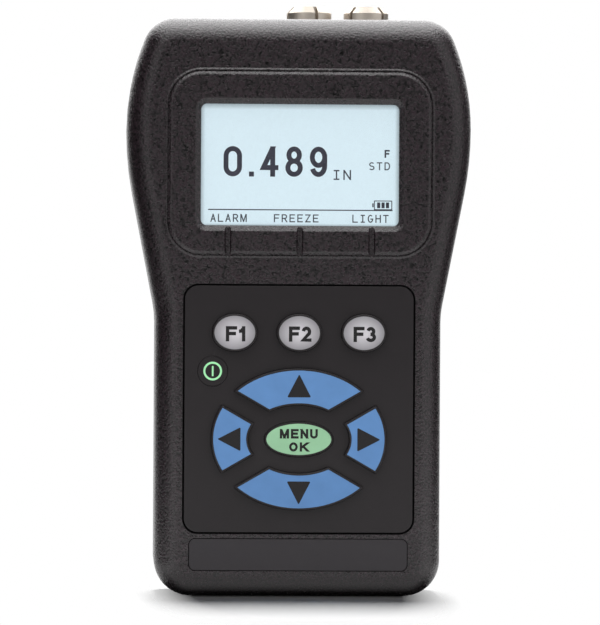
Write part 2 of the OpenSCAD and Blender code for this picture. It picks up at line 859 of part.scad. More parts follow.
// Screening can over the pulse circuit
module shield_can() {
    y = body_h - can_down;
    color(steel_colour) upright() translate([can_x, 0, 0]) difference() {
        prism(round_rect(can_w, can_h, can_r, y), board_back_z - can_t, board_back_z);
        prism(round_rect(can_w - 2 * can_sheet, can_h - 2 * can_sheet, can_r - can_sheet, y),
            board_back_z - can_t + can_sheet, board_back_z + eps);
    }
}

module alarm_buzzer() {
    place = [-buzzer_x, body_h - buzzer_down];
    color("#1d1d1f") upright() difference() {
        bar(place, buzzer_d, board_back_z - buzzer_h, board_back_z);
        bar(place, buzzer_hole_d, board_back_z - buzzer_h - eps, board_back_z - buzzer_h / 2);
    }
}

// Places a socket piece drawn along z at the top end of the housing
module at_socket(i) {
    upright() translate([socket_places[i], body_h, socket_z]) rotate([-90, 0, 0]) children();
}

module socket_body(i) {
    r = barrel_d / 2;
    rear_r = r - barrel_step;
    flange_z1 = -wall;
    flange_z0 = flange_z1 - socket_flange_t;
    color(nickel_colour) at_socket(i) rotate_extrude() polygon([
        [socket_bore / 2, barrel_rise], [rear_r, barrel_rise], [r, barrel_rise - barrel_step], [r, flange_z1],
        [socket_flange_d / 2, flange_z1], [socket_flange_d / 2, flange_z0], [rear_r, flange_z0],
        [rear_r, -barrel_back], [core_d / 2, -barrel_back], [core_d / 2, bore_floor],
        [socket_bore / 2, bore_floor]
    ]);
}

module socket_nut(i, slot_turn) {
    r = nut_d / 2;
    inner = barrel_d / 2 + slip / 2;
    top = washer_t + nut_h;
    slot_reach = r / 3;
    front = -90;
    color(nickel_colour) at_socket(i) difference() {
        rotate_extrude() polygon([
            [inner, washer_t], [r, washer_t], [r, top - nut_chamfer], [r - nut_chamfer, top], [inner, top]
        ]);
        for (turn = [0:90:270])
            rotate(front + slot_turn + turn) translate([r - slot_reach, -slot_w / 2, washer_t - eps])
                cube([slot_reach + eps, slot_w, nut_h + 2 * eps]);
    }
}

module socket_washer(i) {
    color(seal_colour) at_socket(i) difference() {
        cylinder(d = nut_d - 2 * washer_in, h = washer_t);
        translate([0, 0, -eps]) cylinder(d = barrel_d + slip, h = washer_t + 2 * eps);
    }
}

module socket_insulator(i) {
    low = -barrel_back + eps;
    color("#eceae2") at_socket(i) difference() {
        translate([0, 0, low]) cylinder(d = core_d - slip, h = bore_floor - low);
        translate([0, 0, low - eps]) cylinder(d = contact_d + slip, h = bore_floor - low + 2 * eps);
    }
}

module socket_contact(i) {
    low = -barrel_back;
    top = bore_floor - slip;
    color("#c9a24b") at_socket(i) difference() {
        translate([0, 0, low]) cylinder(d = contact_d, h = top - low);
        translate([0, 0, top - contact_deep]) cylinder(d = contact_d / 2, h = contact_deep + eps);
    }
}

// Coaxial lead from the back of a socket to the back of the board
module socket_lead(i) {
    start = body_h - barrel_back;
    color("#3a3a40") upright() lead(socket_places[i], concat(
        [[start, socket_z]],
        bend([start - coax_run, socket_z], [start - coax_reach, socket_z + coax_rise]),
        [[start - coax_reach, board_back_z]]
    ), coax_d);
}

module left_socket_body() { socket_body(0); }
module right_socket_body() { socket_body(1); }
module left_socket_nut() { socket_nut(0, left_nut_turn); }
module right_socket_nut() { socket_nut(1, right_nut_turn); }
module left_socket_washer() { socket_washer(0); }
module right_socket_washer() { socket_washer(1); }
module left_socket_insulator() { socket_insulator(0); }
module right_socket_insulator() { socket_insulator(1); }
module left_socket_contact() { socket_contact(0); }
module right_socket_contact() { socket_contact(1); }
module left_socket_lead() { socket_lead(0); }
module right_socket_lead() { socket_lead(1); }

module battery_door() {
    function ring(d, z) = at_z(round_rect(door_w - 2 * d, door_h - 2 * d, door_r - d, door_y), z);
    color(housing_colour) upright() difference() {
        loft([ring(door_edge, back_z), ring(0, back_z + door_edge), ring(0, land_z)]);
        for (side = [-1, 1]) {
            place = [0, door_y + side * door_screw_y];
            bar(place, screw_d + 4 * screw_gap, back_z - eps, land_z + eps);
            bar(place, screw_head_d + 4 * screw_gap, back_z - eps, door_seat_z);
        }
    }
}

module battery_door_seal_ring(z0, z1) {
    inner = [well_w + 2 * door_seal_in, well_l + 2 * door_seal_in];
    outer = [inner[0] + 2 * door_seal_w, inner[1] + 2 * door_seal_w];
    frame_prism(round_rect(outer[0], outer[1], well_r + door_seal_w, door_y),
        round_rect(inner[0], inner[1], well_r, door_y), z0, z1);
}

module battery_door_seal() {
    color(seal_colour) upright() battery_door_seal_ring(land_z, land_z + door_seal_deep);
}

module battery_door_screws() {
    color(steel_colour) upright()
        for (side = [-1, 1])
            screw([0, door_y + side * door_screw_y], screw_d, screw_head_d, door_head_h, door_seat_z,
                land_z + door_boss_h - hole_floor - tip_gap);
}

// Cell with its button end up, or down for the middle one
module battery_cell(i) {
    r = cell_d / 2;
    can = cell_l - button_h;
    up = i != 1;
    flat_end = up ? well_foot + contact_t + spring_l : well_foot + well_l - contact_t - spring_l;
    color("#3f5f8f") upright()
        translate([(i - 1) * cell_pitch, flat_end, cell_z]) rotate([up ? -90 : 90, 0, 0])
            rotate_extrude() polygon([
                [0, 0], [r - cell_edge, 0], [r, cell_edge], [r, can - cell_edge], [r - cell_edge, can],
                [button_d / 2, can], [button_d / 2, cell_l], [0, cell_l]
            ]);
}

module battery_cell_1() { battery_cell(0); }
module battery_cell_2() { battery_cell(1); }
module battery_cell_3() { battery_cell(2); }

// Tapered coil along z with flat ends of the wire at its last turns
module coil(height, wide, narrow, wire_d, turns) {
    sides = 6;
    steps = 12 * turns;
    rise = height - wire_d;
    loft([
        for (s = [0:steps])
            let (share = s / steps, a = 360 * turns * share, r = wide + (narrow - wide) * share)
            [for (k = [0:sides - 1]) let (b = 360 * (k + 0.5) / sides, q = r + wire_d / 2 * cos(b))
                [q * cos(a), q * sin(a), wire_d / 2 + rise * share - wire_d / 2 * sin(b)]]
    ]);
}

module contact_springs() {
    color(steel_colour) upright()
        for (i = [0:2]) {
            up = i != 1;
            seat = up ? well_foot + contact_t : well_foot + well_l - contact_t;
            translate([(i - 1) * cell_pitch, seat, cell_z]) rotate([up ? -90 : 90, 0, 0])
                coil(spring_l, spring_wide / 2, spring_narrow / 2, spring_wire, spring_turns);
        }
}

// Contact plates at both ends of the well: one single and one double at each end
module contact_plates() {
    double = plate_w + cell_pitch;
    color(steel_colour) upright()
        for (side = [-1, 1]) {
            inner = side > 0 ? well_foot + well_l - contact_t : well_foot;
            tab_start = side > 0 ? inner : inner - well_wall - tab_out;
            translate([0, 0, cell_z]) {
                translate([-side * cell_pitch - plate_w / 2, inner, -plate_h / 2])
                    cube([plate_w, contact_t, plate_h]);
                translate([side * cell_pitch / 2 - double / 2, inner, -plate_h / 2])
                    cube([double, contact_t, plate_h]);
                translate([-side * cell_pitch - tab_w / 2, tab_start, -tab_t / 2])
                    cube([tab_w, contact_t + well_wall + tab_out, tab_t]);
            }
        }
}

module positive_lead() {
    tab_end = well_foot + well_l + well_wall + tab_out;
    y = tab_end + lead_reach;
    color("#a8322c") upright() lead(-cell_pitch, concat(
        bend([tab_end, cell_z], [y, cell_z + lead_rise]),
        [[y, board_back_z]]
    ), lead_d);
}

module negative_lead() {
    tab_end = well_foot - well_wall - tab_out;
    low = tab_end - lead_reach;
    high = board_foot + lead_in;
    over = well_top_z + well_wall + lead_clear;
    stub = board_back_z - lead_stub;
    half_way = [(low + high) / 2, (over + stub) / 2];
    color("#1e1e20") upright() lead(cell_pitch, concat(
        bend([tab_end, cell_z], [low, cell_z + lead_rise]),
        bend([low, over], half_way, true),
        [for (i = [1:5]) bend(half_way, [high, stub])[i]],
        [[high, board_back_z]]
    ), lead_d);
}

front_housing();
rear_housing();
housing_gasket();
housing_screws();
display_window();
window_gasket();
display_glass();
display_backlight();
display_ribbon();
keypad_panel();
function_key_1();
function_key_2();
function_key_3();
power_key();
up_key();
down_key();
left_key();
right_key();
menu_key();
dome_sheet();
label_plate();
main_board();
board_screws();
board_chips();
shield_can();
alarm_buzzer();
left_socket_body();
right_socket_body();
left_socket_nut();
right_socket_nut();
left_socket_washer();
right_socket_washer();
left_socket_insulator();
right_socket_insulator();
left_socket_contact();
right_socket_contact();
left_socket_lead();
right_socket_lead();
battery_door();
battery_door_seal();
battery_door_screws();
battery_cell_1();
battery_cell_2();
battery_cell_3();
contact_springs();
contact_plates();
positive_lead();
negative_lead();
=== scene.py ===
import math
from collections import namedtuple

import bmesh
import bpy
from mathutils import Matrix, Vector

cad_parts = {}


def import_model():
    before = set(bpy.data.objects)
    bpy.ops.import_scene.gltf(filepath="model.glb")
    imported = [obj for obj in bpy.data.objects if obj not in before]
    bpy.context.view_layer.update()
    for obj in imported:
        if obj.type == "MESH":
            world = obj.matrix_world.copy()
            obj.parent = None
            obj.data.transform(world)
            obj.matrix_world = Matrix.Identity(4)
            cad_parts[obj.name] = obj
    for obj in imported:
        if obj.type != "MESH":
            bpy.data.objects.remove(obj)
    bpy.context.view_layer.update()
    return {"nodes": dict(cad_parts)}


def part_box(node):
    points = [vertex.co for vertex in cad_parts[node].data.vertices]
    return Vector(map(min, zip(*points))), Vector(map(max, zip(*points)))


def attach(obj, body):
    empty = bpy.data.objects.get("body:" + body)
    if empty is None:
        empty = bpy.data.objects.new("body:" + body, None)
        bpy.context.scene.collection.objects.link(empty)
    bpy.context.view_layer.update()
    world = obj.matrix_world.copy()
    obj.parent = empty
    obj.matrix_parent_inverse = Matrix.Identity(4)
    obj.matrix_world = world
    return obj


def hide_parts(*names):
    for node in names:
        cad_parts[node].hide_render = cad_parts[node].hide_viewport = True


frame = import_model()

MM = 0.001

# Housing sizes in millimetres, as in the solids
GRIP_W = 71.8
FOOT_R = 9
WAIST_R = 25
TAPER_A = 11
BELLY_R = 84
SHOULDER_R = 60
SHOULDER_A = 22
CORNER_R = 8.5
EDGE_IN = 6.2
EDGE_DEEP = 8
WALL = 2.4
FACE_WALL = 3
SEAM = 0.3

# Display surround
BEZEL_W = 67
BEZEL_H = 47
BEZEL_R = 9
BEZEL_RISE = 0.4
LIP_W = 0.3
LIP_RISE = 0.24
MOAT_W = 0.2
MOAT_DEEP = 0.3
PLATEAU_SLOPE = 37
PLATEAU_ROUND = 1
WINDOW_W = 49.6
WINDOW_H = 30.4
WINDOW_R = 1.5
WINDOW_LAND = 1.9
BEVEL = 1.3
BEVEL_DEEP = 1
BEVEL_EDGE = 0.25
POINTER_PITCH = 18
POINTER_W = 1.5
POINTER_PAST = 0.1
POINTER_DEEP = 0.25
POINTER_HOLLOW = 0.5
POINTER_EDGE = 0.12
POINTER_EDGE_DEEP = 0.2
POINTER_OUT = 0.3

# Keypad
PANEL_R = 3.4
PANEL_GAP = 0.35
PANEL_EDGE = 0.08
PANEL_RECESS_EDGE = 0.15
KEY_GAP = 0.25
KEY_RIM = 0.5
KEY_EDGE = 0.22
POWER_EDGE = 0.06
KEY_FLANGE = 0.9
FLANGE_T = 1.1
SLIP = 0.1
SEEN_GAP = 0.06
STEM_R = 1.5
SOFT_AXES = (5.1, 4.2)
POWER_AXES = (3.2, 3.2)
MENU_AXES = (8.1, 3.9)
PAD_AXES = (21.4, 17.2)
HOLE_AXES = (13.2, 9.05)
CHANNEL_W = 5.6
CHANNEL_A = 30
LABEL_R = 1.5
LABEL_GAP = 0.15
LABEL_RECESS_EDGE = 0.06

Extent = namedtuple("Extent", "x y w h back front")


def place(x, y, z):
    """A point drawn lying on the back, in millimetres, as a point of the frame."""
    return Vector((x, -z, y)) * MM


def extent(node):
    """Middle, width, height, back and front of a node, in millimetres as drawn lying on the back."""
    low, high = (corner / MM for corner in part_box(node))
    x, y = (low.x + high.x) / 2, (low.z + high.z) / 2
    return Extent(x, y, high.x - low.x, high.z - low.z, -high.y, -low.y)


front = extent("front_housing")
label = extent("label_plate")
panel = extent("keypad_panel")
window = extent("display_window")
gasket = extent("window_gasket")
glass = extent("display_glass")
board = extent("main_board")
pad_y = extent("menu_key").y
bezel_y = window.y + BEZEL_RISE
BODY_W = front.w
BODY_H = front.h
SPLIT_Z = front.back
FACE_Z = label.front
FLOOR_Z = FACE_Z - FACE_WALL
PLATEAU_Z = front.front


def arc(centre, r, a0, a1, step=3.0, skip=0):
    """Points on an arc, in degrees, leaving out the first `skip` of them."""
    n = max(2, round(abs(a1 - a0) / step))
    angles = [math.radians(a0 + (a1 - a0) * i / n) for i in range(skip, n + 1)]
    return [(centre[0] + r * math.cos(a), centre[1] + r * math.sin(a)) for a in angles]


def both_sides(right):
    """A closed ring from the points of its right half, going up."""
    return right + [(-x, y) for x, y in reversed(right)]


def outline(d):
    """Housing outline, moved in by d."""
    half_w, half_grip = BODY_W / 2, GRIP_W / 2
    turn, taper = math.radians(SHOULDER_A), math.radians(TAPER_A)
    span = SHOULDER_R - CORNER_R
    bulge_y = BODY_H - CORNER_R - span * math.sin(turn)
    belly = (half_w - BELLY_R, bulge_y)
    shoulder = (half_w - SHOULDER_R, bulge_y)
    corner = (shoulder[0] + span * math.cos(turn), bulge_y + span * math.sin(turn))
    waist_x = half_grip + WAIST_R
    run = belly[0] + BELLY_R * math.cos(taper) - (waist_x - WAIST_R * math.cos(taper))
    waist = (waist_x, bulge_y - (BELLY_R + WAIST_R) * math.sin(taper) - run / math.tan(taper))
    return both_sides(
        arc((half_grip - FOOT_R, FOOT_R), FOOT_R - d, -90, 0)
        + arc(waist, WAIST_R + d, 180, 180 - TAPER_A)
        + arc(belly, BELLY_R - d, -TAPER_A, 0)
        + arc(shoulder, SHOULDER_R - d, 0, SHOULDER_A, skip=1)
        + arc(corner, CORNER_R - d, SHOULDER_A, 90, skip=1)
    )


def round_rect(w, h, r, x=0.0, y=0.0):
    """Rectangle with round corners about a middle."""
    right = arc((w / 2 - r, -h / 2 + r), r, -90, 0, 6) + arc((w / 2 - r, h / 2 - r), r, 0, 90, 6)
    return [(px + x, py + y) for px, py in both_sides(right)]


def ellipse(a, b, x, y, n=72):
    """Ellipse with half axes a and b about a middle."""
    angles = [2 * math.pi * (i + 0.5) / n for i in range(n)]
    return [(x + a * math.cos(t), y + b * math.sin(t)) for t in angles]


def crossing(a, b, d, side):
    """Angle on an ellipse at which it crosses an edge of a channel between arrow keys."""
    slope = math.radians(CHANNEL_A)
    across, along = a * math.sin(slope), b * math.cos(slope)
    return math.atan2(across, along) + side * math.asin((CHANNEL_W / 2 + d) / math.hypot(across, along))


def arrow(d, turn, n=26):
    """Outline of the arrow key that lies at a turn of 0, 90, 180 or 270 degrees, moved in by d."""
    outer = [axis - d for axis in PAD_AXES]
    inner = [axis + d for axis in HOLE_AXES]
    tall = turn in (90, 270)
    side = 1 if tall else -1

    def stretch(axes):
        edge = crossing(axes[0], axes[1], d, side)
        half = math.pi / 2 - edge if tall else edge
        angles = [math.radians(turn) - half + 2 * half * i / n for i in range(n + 1)]
        return [(axes[0] * math.cos(t), pad_y + axes[1] * math.sin(t)) for t in angles]

    return stretch(outer) + stretch(inner)[::-1]


KEY_SHAPES = {
    "power_key": lambda d, e: ellipse(POWER_AXES[0] - d, POWER_AXES[1] - d, e.x, e.y),
    "menu_key": lambda d, e: ellipse(MENU_AXES[0] - d, MENU_AXES[1] - d, e.x, e.y),
    "up_key": lambda d, e: arrow(d, 90),
    "down_key": lambda d, e: arrow(d, 270),
    "left_key": lambda d, e: arrow(d, 180),
    "right_key": lambda d, e: arrow(d, 0),
}
FUNCTION_KEYS = [f"function_key_{number}" for number in (1, 2, 3)]
for key in FUNCTION_KEYS:
    KEY_SHAPES[key] = lambda d, e: ellipse(SOFT_AXES[0] - d, SOFT_AXES[1] - d, e.x, e.y)


def key_ring(key, d):
    """Outline of a key, moved in by d from the edge of its printed top."""
    return KEY_SHAPES[key](d, extent(key))


# Materials

def srgb(r, g, b):
    """A colour given as it looks, 0 to 255, as a linear colour."""
    def linear(v):
        v /= 255
        return v / 12.92 if v <= 0.04045 else ((v + 0.055) / 1.055) ** 2.4
    return (linear(r), linear(g), linear(b), 1.0)


class Surface:
    """A material with its node tree at hand."""

    def __init__(self, name, colour, rough, metal=0.0, specular=0.5):
        self.material = bpy.data.materials.new(name)
        self.material.use_nodes = True
        self.nodes = self.material.node_tree.nodes
        self.links = self.material.node_tree.links
        self.shader = self.nodes["Principled BSDF"]
        self.shader.inputs["Base Color"].default_value = colour
        self.shader.inputs["Roughness"].default_value = rough
        self.shader.inputs["Metallic"].default_value = metal
        self.shader.inputs["Specular IOR Level"].default_value = specular
        self.where = self.nodes.new("ShaderNodeTexCoord").outputs["Object"]

    def noise(self, size_mm, detail=2.0, rough=0.5, stretch=None):
        """Noise with lumps of about the given size."""
        node = self.nodes.new("ShaderNodeTexNoise")
        node.inputs["Scale"].default_value = 1 / (size_mm * MM)
        node.inputs["Detail"].default_value = detail
        node.inputs["Roughness"].default_value = rough
        source = self.where
        if stretch:
            mapping = self.nodes.new("ShaderNodeMapping")
            mapping.inputs["Scale"].default_value = stretch
            self.links.new(source, mapping.inputs["Vector"])
            source = mapping.outputs["Vector"]
        self.links.new(source, node.inputs["Vector"])
        return node.outputs["Fac"]

    def spread(self, value, low, high, start=0.3, end=0.7):
        """A value that runs from start to end, spread between two numbers."""
        node = self.nodes.new("ShaderNodeMapRange")
        node.inputs["From Min"].default_value = start
        node.inputs["From Max"].default_value = end
        node.inputs["To Min"].default_value = low
        node.inputs["To Max"].default_value = high
        self.links.new(value, node.inputs["Value"])
        return node.outputs["Result"]

    def product(self, a, b):
        """Two values multiplied."""
        node = self.nodes.new("ShaderNodeMath")
        node.operation = "MULTIPLY"
        self.links.new(a, node.inputs[0])
        self.links.new(b, node.inputs[1])
        return node.outputs[0]

    def axes(self):
        """The place on the object as outputs X, Y and Z."""
        node = self.nodes.new("ShaderNodeSeparateXYZ")
        self.links.new(self.where, node.inputs[0])
        return node.outputs

    def vary_colour(self, value, dark, light):
        """Colour that runs between two shades with a value."""
        node = self.nodes.new("ShaderNodeMix")
        node.data_type = "RGBA"
        node.inputs["A"].default_value = dark
        node.inputs["B"].default_value = light
        self.links.new(value, node.inputs["Factor"])
        self.links.new(node.outputs["Result"], self.shader.inputs["Base Color"])

    def vary_rough(self, value, low, high):
        self.links.new(self.spread(value, low, high), self.shader.inputs["Roughness"])

    def bump(self, value, height_mm, strength=1.0):
        """Relief of about the given height."""
        node = self.nodes.new("ShaderNodeBump")
        node.inputs["Strength"].default_value = strength
        node.inputs["Distance"].default_value = height_mm * MM
        self.links.new(value, node.inputs["Height"])
        earlier = self.shader.inputs["Normal"].links
        if earlier:
            self.links.new(earlier[0].from_socket, node.inputs["Normal"])
        self.links.new(node.outputs["Normal"], self.shader.inputs["Normal"])


def shade(colour, factor):
    return tuple(c * factor for c in colour[:3]) + (1.0,)


def housing_plastic():
    """Dark plastic with the grain of an etched mould."""
    colour = srgb(20, 14, 17)
    s = Surface("housing_plastic", colour, 0.27, specular=0.42)
    grain = s.spread(s.noise(0.55, 2.0, 0.5), 0, 1, 0.35, 0.65)
    s.vary_colour(grain, shade(colour, 0.05), shade(colour, 3.2))
    s.vary_rough(s.noise(1.3, 2.0), 0.24, 0.3)
    s.bump(grain, 0.07, 1.0)
    return s.material


def satin_rubber(name, colour, rough=0.5):
    """Smooth moulded rubber or print on it."""
    s = Surface(name, colour, rough, specular=0.29)
    s.vary_colour(s.spread(s.noise(5.0, 3.0), 0, 1), shade(colour, 0.95), shade(colour, 1.05))
    s.vary_rough(s.noise(0.6, 2.0), rough - 0.05, rough + 0.05)
    s.bump(s.noise(0.25, 2.0), 0.006, 0.6)
    return s.material


def glow_painted_print(name, edge, middle):
    """Print on rubber, paler in the middle of the key as a painted glow and darker towards its edge as
    painted shade.
    """
    s = Surface(name, middle, 0.5)
    # Place on the key, from -1 to 1 across its width and height
    out = s.nodes.new("ShaderNodeVectorMath")
    out.operation = "MULTIPLY_ADD"
    out.inputs[1].default_value = (2, 0, 2)
    out.inputs[2].default_value = (-1, 0, -1)
    s.links.new(s.nodes["Texture Coordinate"].outputs["Generated"], out.inputs[0])
    reach = s.nodes.new("ShaderNodeVectorMath")
    reach.operation = "LENGTH"
    s.links.new(out.outputs["Vector"], reach.inputs[0])
    # Painted glow in the middle of the key, painted shade towards its edge
    s.vary_colour(s.spread(reach.outputs["Value"], 0, 1, 0.15, 0.78), middle, edge)
    s.vary_rough(s.noise(0.6, 2.0), 0.45, 0.55)
    s.bump(s.noise(0.25, 2.0), 0.006, 0.6)
    return s.material


def film(name, colour, rough):
    s = Surface(name, colour, rough, specular=0.4)
    s.vary_rough(s.noise(2.0, 2.0), rough - 0.05, rough + 0.05)
    s.bump(s.noise(0.3, 1.0), 0.004, 0.5)
    return s.material


def plated(name, colour, rough):
    """Turned and plated metal."""
    s = Surface(name, colour, rough, metal=1.0)
    s.vary_rough(s.noise(0.3, 2.0, stretch=(1, 1, 8)), rough - 0.08, rough + 0.08)
    s.bump(s.noise(0.12, 1.0, stretch=(1, 1, 10)), 0.003, 0.5)
    return s.material


def moulded(name, colour, rough=0.5, grain_mm=0.5, specular=0.5):
    s = Surface(name, colour, rough, specular=specular)
    s.vary_colour(s.spread(s.noise(4.0, 3.0), 0, 1), shade(colour, 0.92), shade(colour, 1.08))
    s.bump(s.noise(grain_mm, 2.0), 0.01, 0.5)
    return s.material


# Edges of the window by axis and reach from its middle, each with the run inside it over which painted shade
# dims the display
DISPLAY_SHADED_EDGES = (
    ("X", -WINDOW_W / 2, 1.1), ("X", WINDOW_W / 2, 0.9), ("Z", -WINDOW_H / 2, 0.6), ("Z", WINDOW_H / 2, 1.3)
)
DISPLAY_LIGHT = 0.95
# Light left at the very edge of the window under the painted shade
SHADED_EDGE_LIGHT = 0.5


def display_lit():
    """Pale lit display with a faint cell grain, with painted shade along the edges of the window where the
    surround shades it.
    """
    colour = srgb(217, 237, 246)
    s = Surface("display_lit", shade(colour, 0.14), 0.4)
    s.vary_colour(s.spread(s.noise(0.7, 2.0), 0, 1), shade(colour, 0.12), shade(colour, 0.16))
    s.shader.inputs["Emission Color"].default_value = colour
    where = s.axes()
    middle = {"X": window.x, "Z": window.y}

    def lit(axis, reach, run):
        """Share of the light left along one edge by the painted shade."""
        edge = middle[axis] + reach
        inner = edge - math.copysign(run, reach)
        return s.spread(where[axis], SHADED_EDGE_LIGHT, 1.0, edge * MM, inner * MM)

    light = s.spread(lit(*DISPLAY_SHADED_EDGES[0]), 0, DISPLAY_LIGHT, 0, 1)
    for edge in DISPLAY_SHADED_EDGES[1:]:
        light = s.product(light, lit(*edge))
    s.links.new(light, s.shader.inputs["Emission Strength"])
    return s.material


def clear_window():
    """Clear window that lets light through without bending it."""
    s = Surface("clear_window", (0.02, 0.025, 0.03, 1.0), 0.08)
    s.shader.inputs["Alpha"].default_value = 0.05
    s.vary_rough(s.noise(6.0, 2.0), 0.05, 0.12)
    return s.material


PLASTIC = housing_plastic()
# Near-black matte plastic on the walls and floors of the keypad and label recesses: painted shade in the gaps
# round the panel and label
RECESS_PAINTED_SHADE = moulded("recess_painted_shade", srgb(8, 7, 8), 0.7, specular=0.08)
RUBBER = satin_rubber("keypad_rubber", srgb(25, 21, 23), 0.45)
INK = satin_rubber("legend_ink", srgb(18, 16, 17), 0.6)
BLUE = satin_rubber("blue_print", srgb(90, 132, 183), 0.5)
# Grey print with a painted glow in its middle and painted shade at its edge
GREY_PAINTED_GLOW = glow_painted_print("grey_print_painted_glow", srgb(132, 130, 134), srgb(197, 194, 199))
GREEN = satin_rubber("green_print", srgb(146, 192, 154), 0.5)
BRIGHT_GREEN = satin_rubber("power_print", srgb(165, 235, 178), 0.5)
LABEL_FILM = film("label_film", srgb(32, 28, 32), 0.45)
SEAL = satin_rubber("seal_rubber", srgb(30, 30, 31), 0.6)
NICKEL = plated("nickel", (0.64, 0.58, 0.51, 1.0), 0.5)
STEEL = plated("plated_steel", (0.52, 0.52, 0.53, 1.0), 0.32)
# Near-black steel in the screw sockets: painted shade in the hollows
SOCKET_PAINTED_SHADE = plated("socket_painted_shade", (0.06, 0.06, 0.062, 1.0), 0.5)
GILT = plated("gilt_contact", (0.72, 0.5, 0.16, 1.0), 0.25)
LCD_INK = film("display_ink", srgb(58, 58, 70), 0.5)

NODE_MATERIALS = {
    PLASTIC: ["rear_housing", "battery_door"],
    LABEL_FILM: ["label_plate"],
    SEAL: ["housing_gasket", "window_gasket", "left_socket_washer", "right_socket_washer",
           "battery_door_seal"],
    NICKEL: ["left_socket_body", "right_socket_body", "left_socket_nut", "right_socket_nut"],
    STEEL: ["board_screws", "shield_can", "contact_springs", "contact_plates"],
    GILT: ["left_socket_contact", "right_socket_contact"],
    moulded("white_insulator", (0.78, 0.76, 0.7, 1.0)): ["left_socket_insulator", "right_socket_insulator"],
    moulded("white_diffuser", (0.8, 0.82, 0.82, 1.0)): ["display_backlight"],
    moulded("dome_film", (0.5, 0.52, 0.55, 1.0), 0.3): ["dome_sheet"],
    moulded("solder_mask", (0.02, 0.13, 0.05, 1.0), 0.35): ["main_board"],
    moulded("chip_black", (0.02, 0.02, 0.022, 1.0), 0.5, 0.2): ["board_chips", "alarm_buzzer"],
    film("amber_film", (0.42, 0.16, 0.03, 1.0), 0.3): ["display_ribbon"],
    moulded("cell_sleeve", (0.05, 0.11, 0.26, 1.0), 0.3):
        ["battery_cell_1", "battery_cell_2", "battery_cell_3"],
    satin_rubber("black_sheath", srgb(32, 32, 34)):
        ["left_socket_lead", "right_socket_lead", "negative_lead"],
    satin_rubber("red_sheath", srgb(168, 50, 44)): ["positive_lead"],
    display_lit(): ["display_glass"],
    clear_window(): ["display_window"],
}


# Angle from which an edge stays sharp, and the gaps in metres closed in solids and in made meshes
SHARP_ANGLE = math.radians(32)
SOLID_JOIN = 1e-6
MESH_JOIN = 1e-7


def smooth_faces():
    """Nodes that join a solid's facets and shade them smoothly across shallow edges."""
    group = bpy.data.node_groups.new("smooth_faces", "GeometryNodeTree")
    group.interface.new_socket("Geometry", in_out="INPUT", socket_type="NodeSocketGeometry")
    group.interface.new_socket("Geometry", in_out="OUTPUT", socket_type="NodeSocketGeometry")
    nodes, links = group.nodes, group.links
    merge = nodes.new("GeometryNodeMergeByDistance")
    merge.inputs["Distance"].default_value = SOLID_JOIN
    clear = nodes.new("GeometryNodeRemoveAttribute")
    clear.inputs["Name"].default_value = "custom_normal"
    faces = nodes.new("GeometryNodeSetShadeSmooth")
    edges = nodes.new("GeometryNodeSetShadeSmooth")
    edges.domain = "EDGE"
    edges.inputs["Shade Smooth"].default_value = False
    steep = nodes.new("FunctionNodeCompare")
    steep.operation = "GREATER_THAN"
    steep.inputs["B"].default_value = SHARP_ANGLE
    links.new(nodes.new("GeometryNodeInputMeshEdgeAngle").outputs["Unsigned Angle"], steep.inputs["A"])
    links.new(steep.outputs["Result"], edges.inputs["Selection"])
    chain = [nodes.new("NodeGroupInput"), merge, clear, faces, edges, nodes.new("NodeGroupOutput")]
    for a, b in zip(chain, chain[1:]):
        links.new(a.outputs[0], b.inputs[0])
    return group


SMOOTH_FACES = smooth_faces()
for material, names in NODE_MATERIALS.items():
    for name in names:
        slots = frame["nodes"][name].data.materials
        slots.clear()
        slots.append(material)
        frame["nodes"][name].modifiers.new("smooth_faces", "NODES").node_group = SMOOTH_FACES


# Meshes

class Shape:
    """A mesh made of rings of points, strips between them and flat fills."""

    def __init__(self):
        self.bm = bmesh.new()

    def ring(self, points, z):
        return [self.bm.verts.new(place(x, y, z)) for x, y in points]

    def strip(self, a, b, material=0):
        for i in range(len(a)):
            j = (i + 1) % len(a)
            self.bm.faces.new((a[i], a[j], b[j], b[i])).material_index = material

    def loft(self, rings, material=0):
        """Strips between rings given as (points, z), returning the first and last."""
        made = [self.ring(points, z) for points, z in rings]
        for a, b in zip(made, made[1:]):
            self.strip(a, b, material)
        return made[0], made[-1]

    def edges(self, ring):
        for i in range(len(ring)):
            pair = (ring[i], ring[(i + 1) % len(ring)])
            yield self.bm.edges.get(pair) or self.bm.edges.new(pair)

    def fill(self, *rings, material=0):
        """A flat face inside the first ring and outside the others."""
        edges = [edge for ring in rings for edge in self.edges(ring)]
        made = bmesh.ops.triangle_fill(self.bm, use_beauty=True, use_dissolve=False, edges=edges)
        for face in made["geom"]:
            if isinstance(face, bmesh.types.BMFace):
                face.material_index = material

    def object(self, name, materials):
        bmesh.ops.recalc_face_normals(self.bm, faces=self.bm.faces)
        mesh = bpy.data.meshes.new(name)
        self.bm.to_mesh(mesh)
        self.bm.free()
        for material in materials:
            mesh.materials.append(material)
        obj = bpy.data.objects.new(name, mesh)
        bpy.context.scene.collection.objects.link(obj)
        return obj


def smooth(obj):
    """Smooth shading with sharp edges where faces meet at an angle."""
    bm = bmesh.new()
    bm.from_mesh(obj.data)
    bmesh.ops.remove_doubles(bm, verts=bm.verts, dist=MESH_JOIN)
    for face in bm.faces:
        face.smooth = True
    for edge in bm.edges:
        edge.smooth = edge.is_manifold and edge.calc_face_angle(0.0) < SHARP_ANGLE
    bm.to_mesh(obj.data)
    bm.free()
    normals = obj.modifiers.new("even_normals", "WEIGHTED_NORMAL")
    normals.keep_sharp = True
    return obj


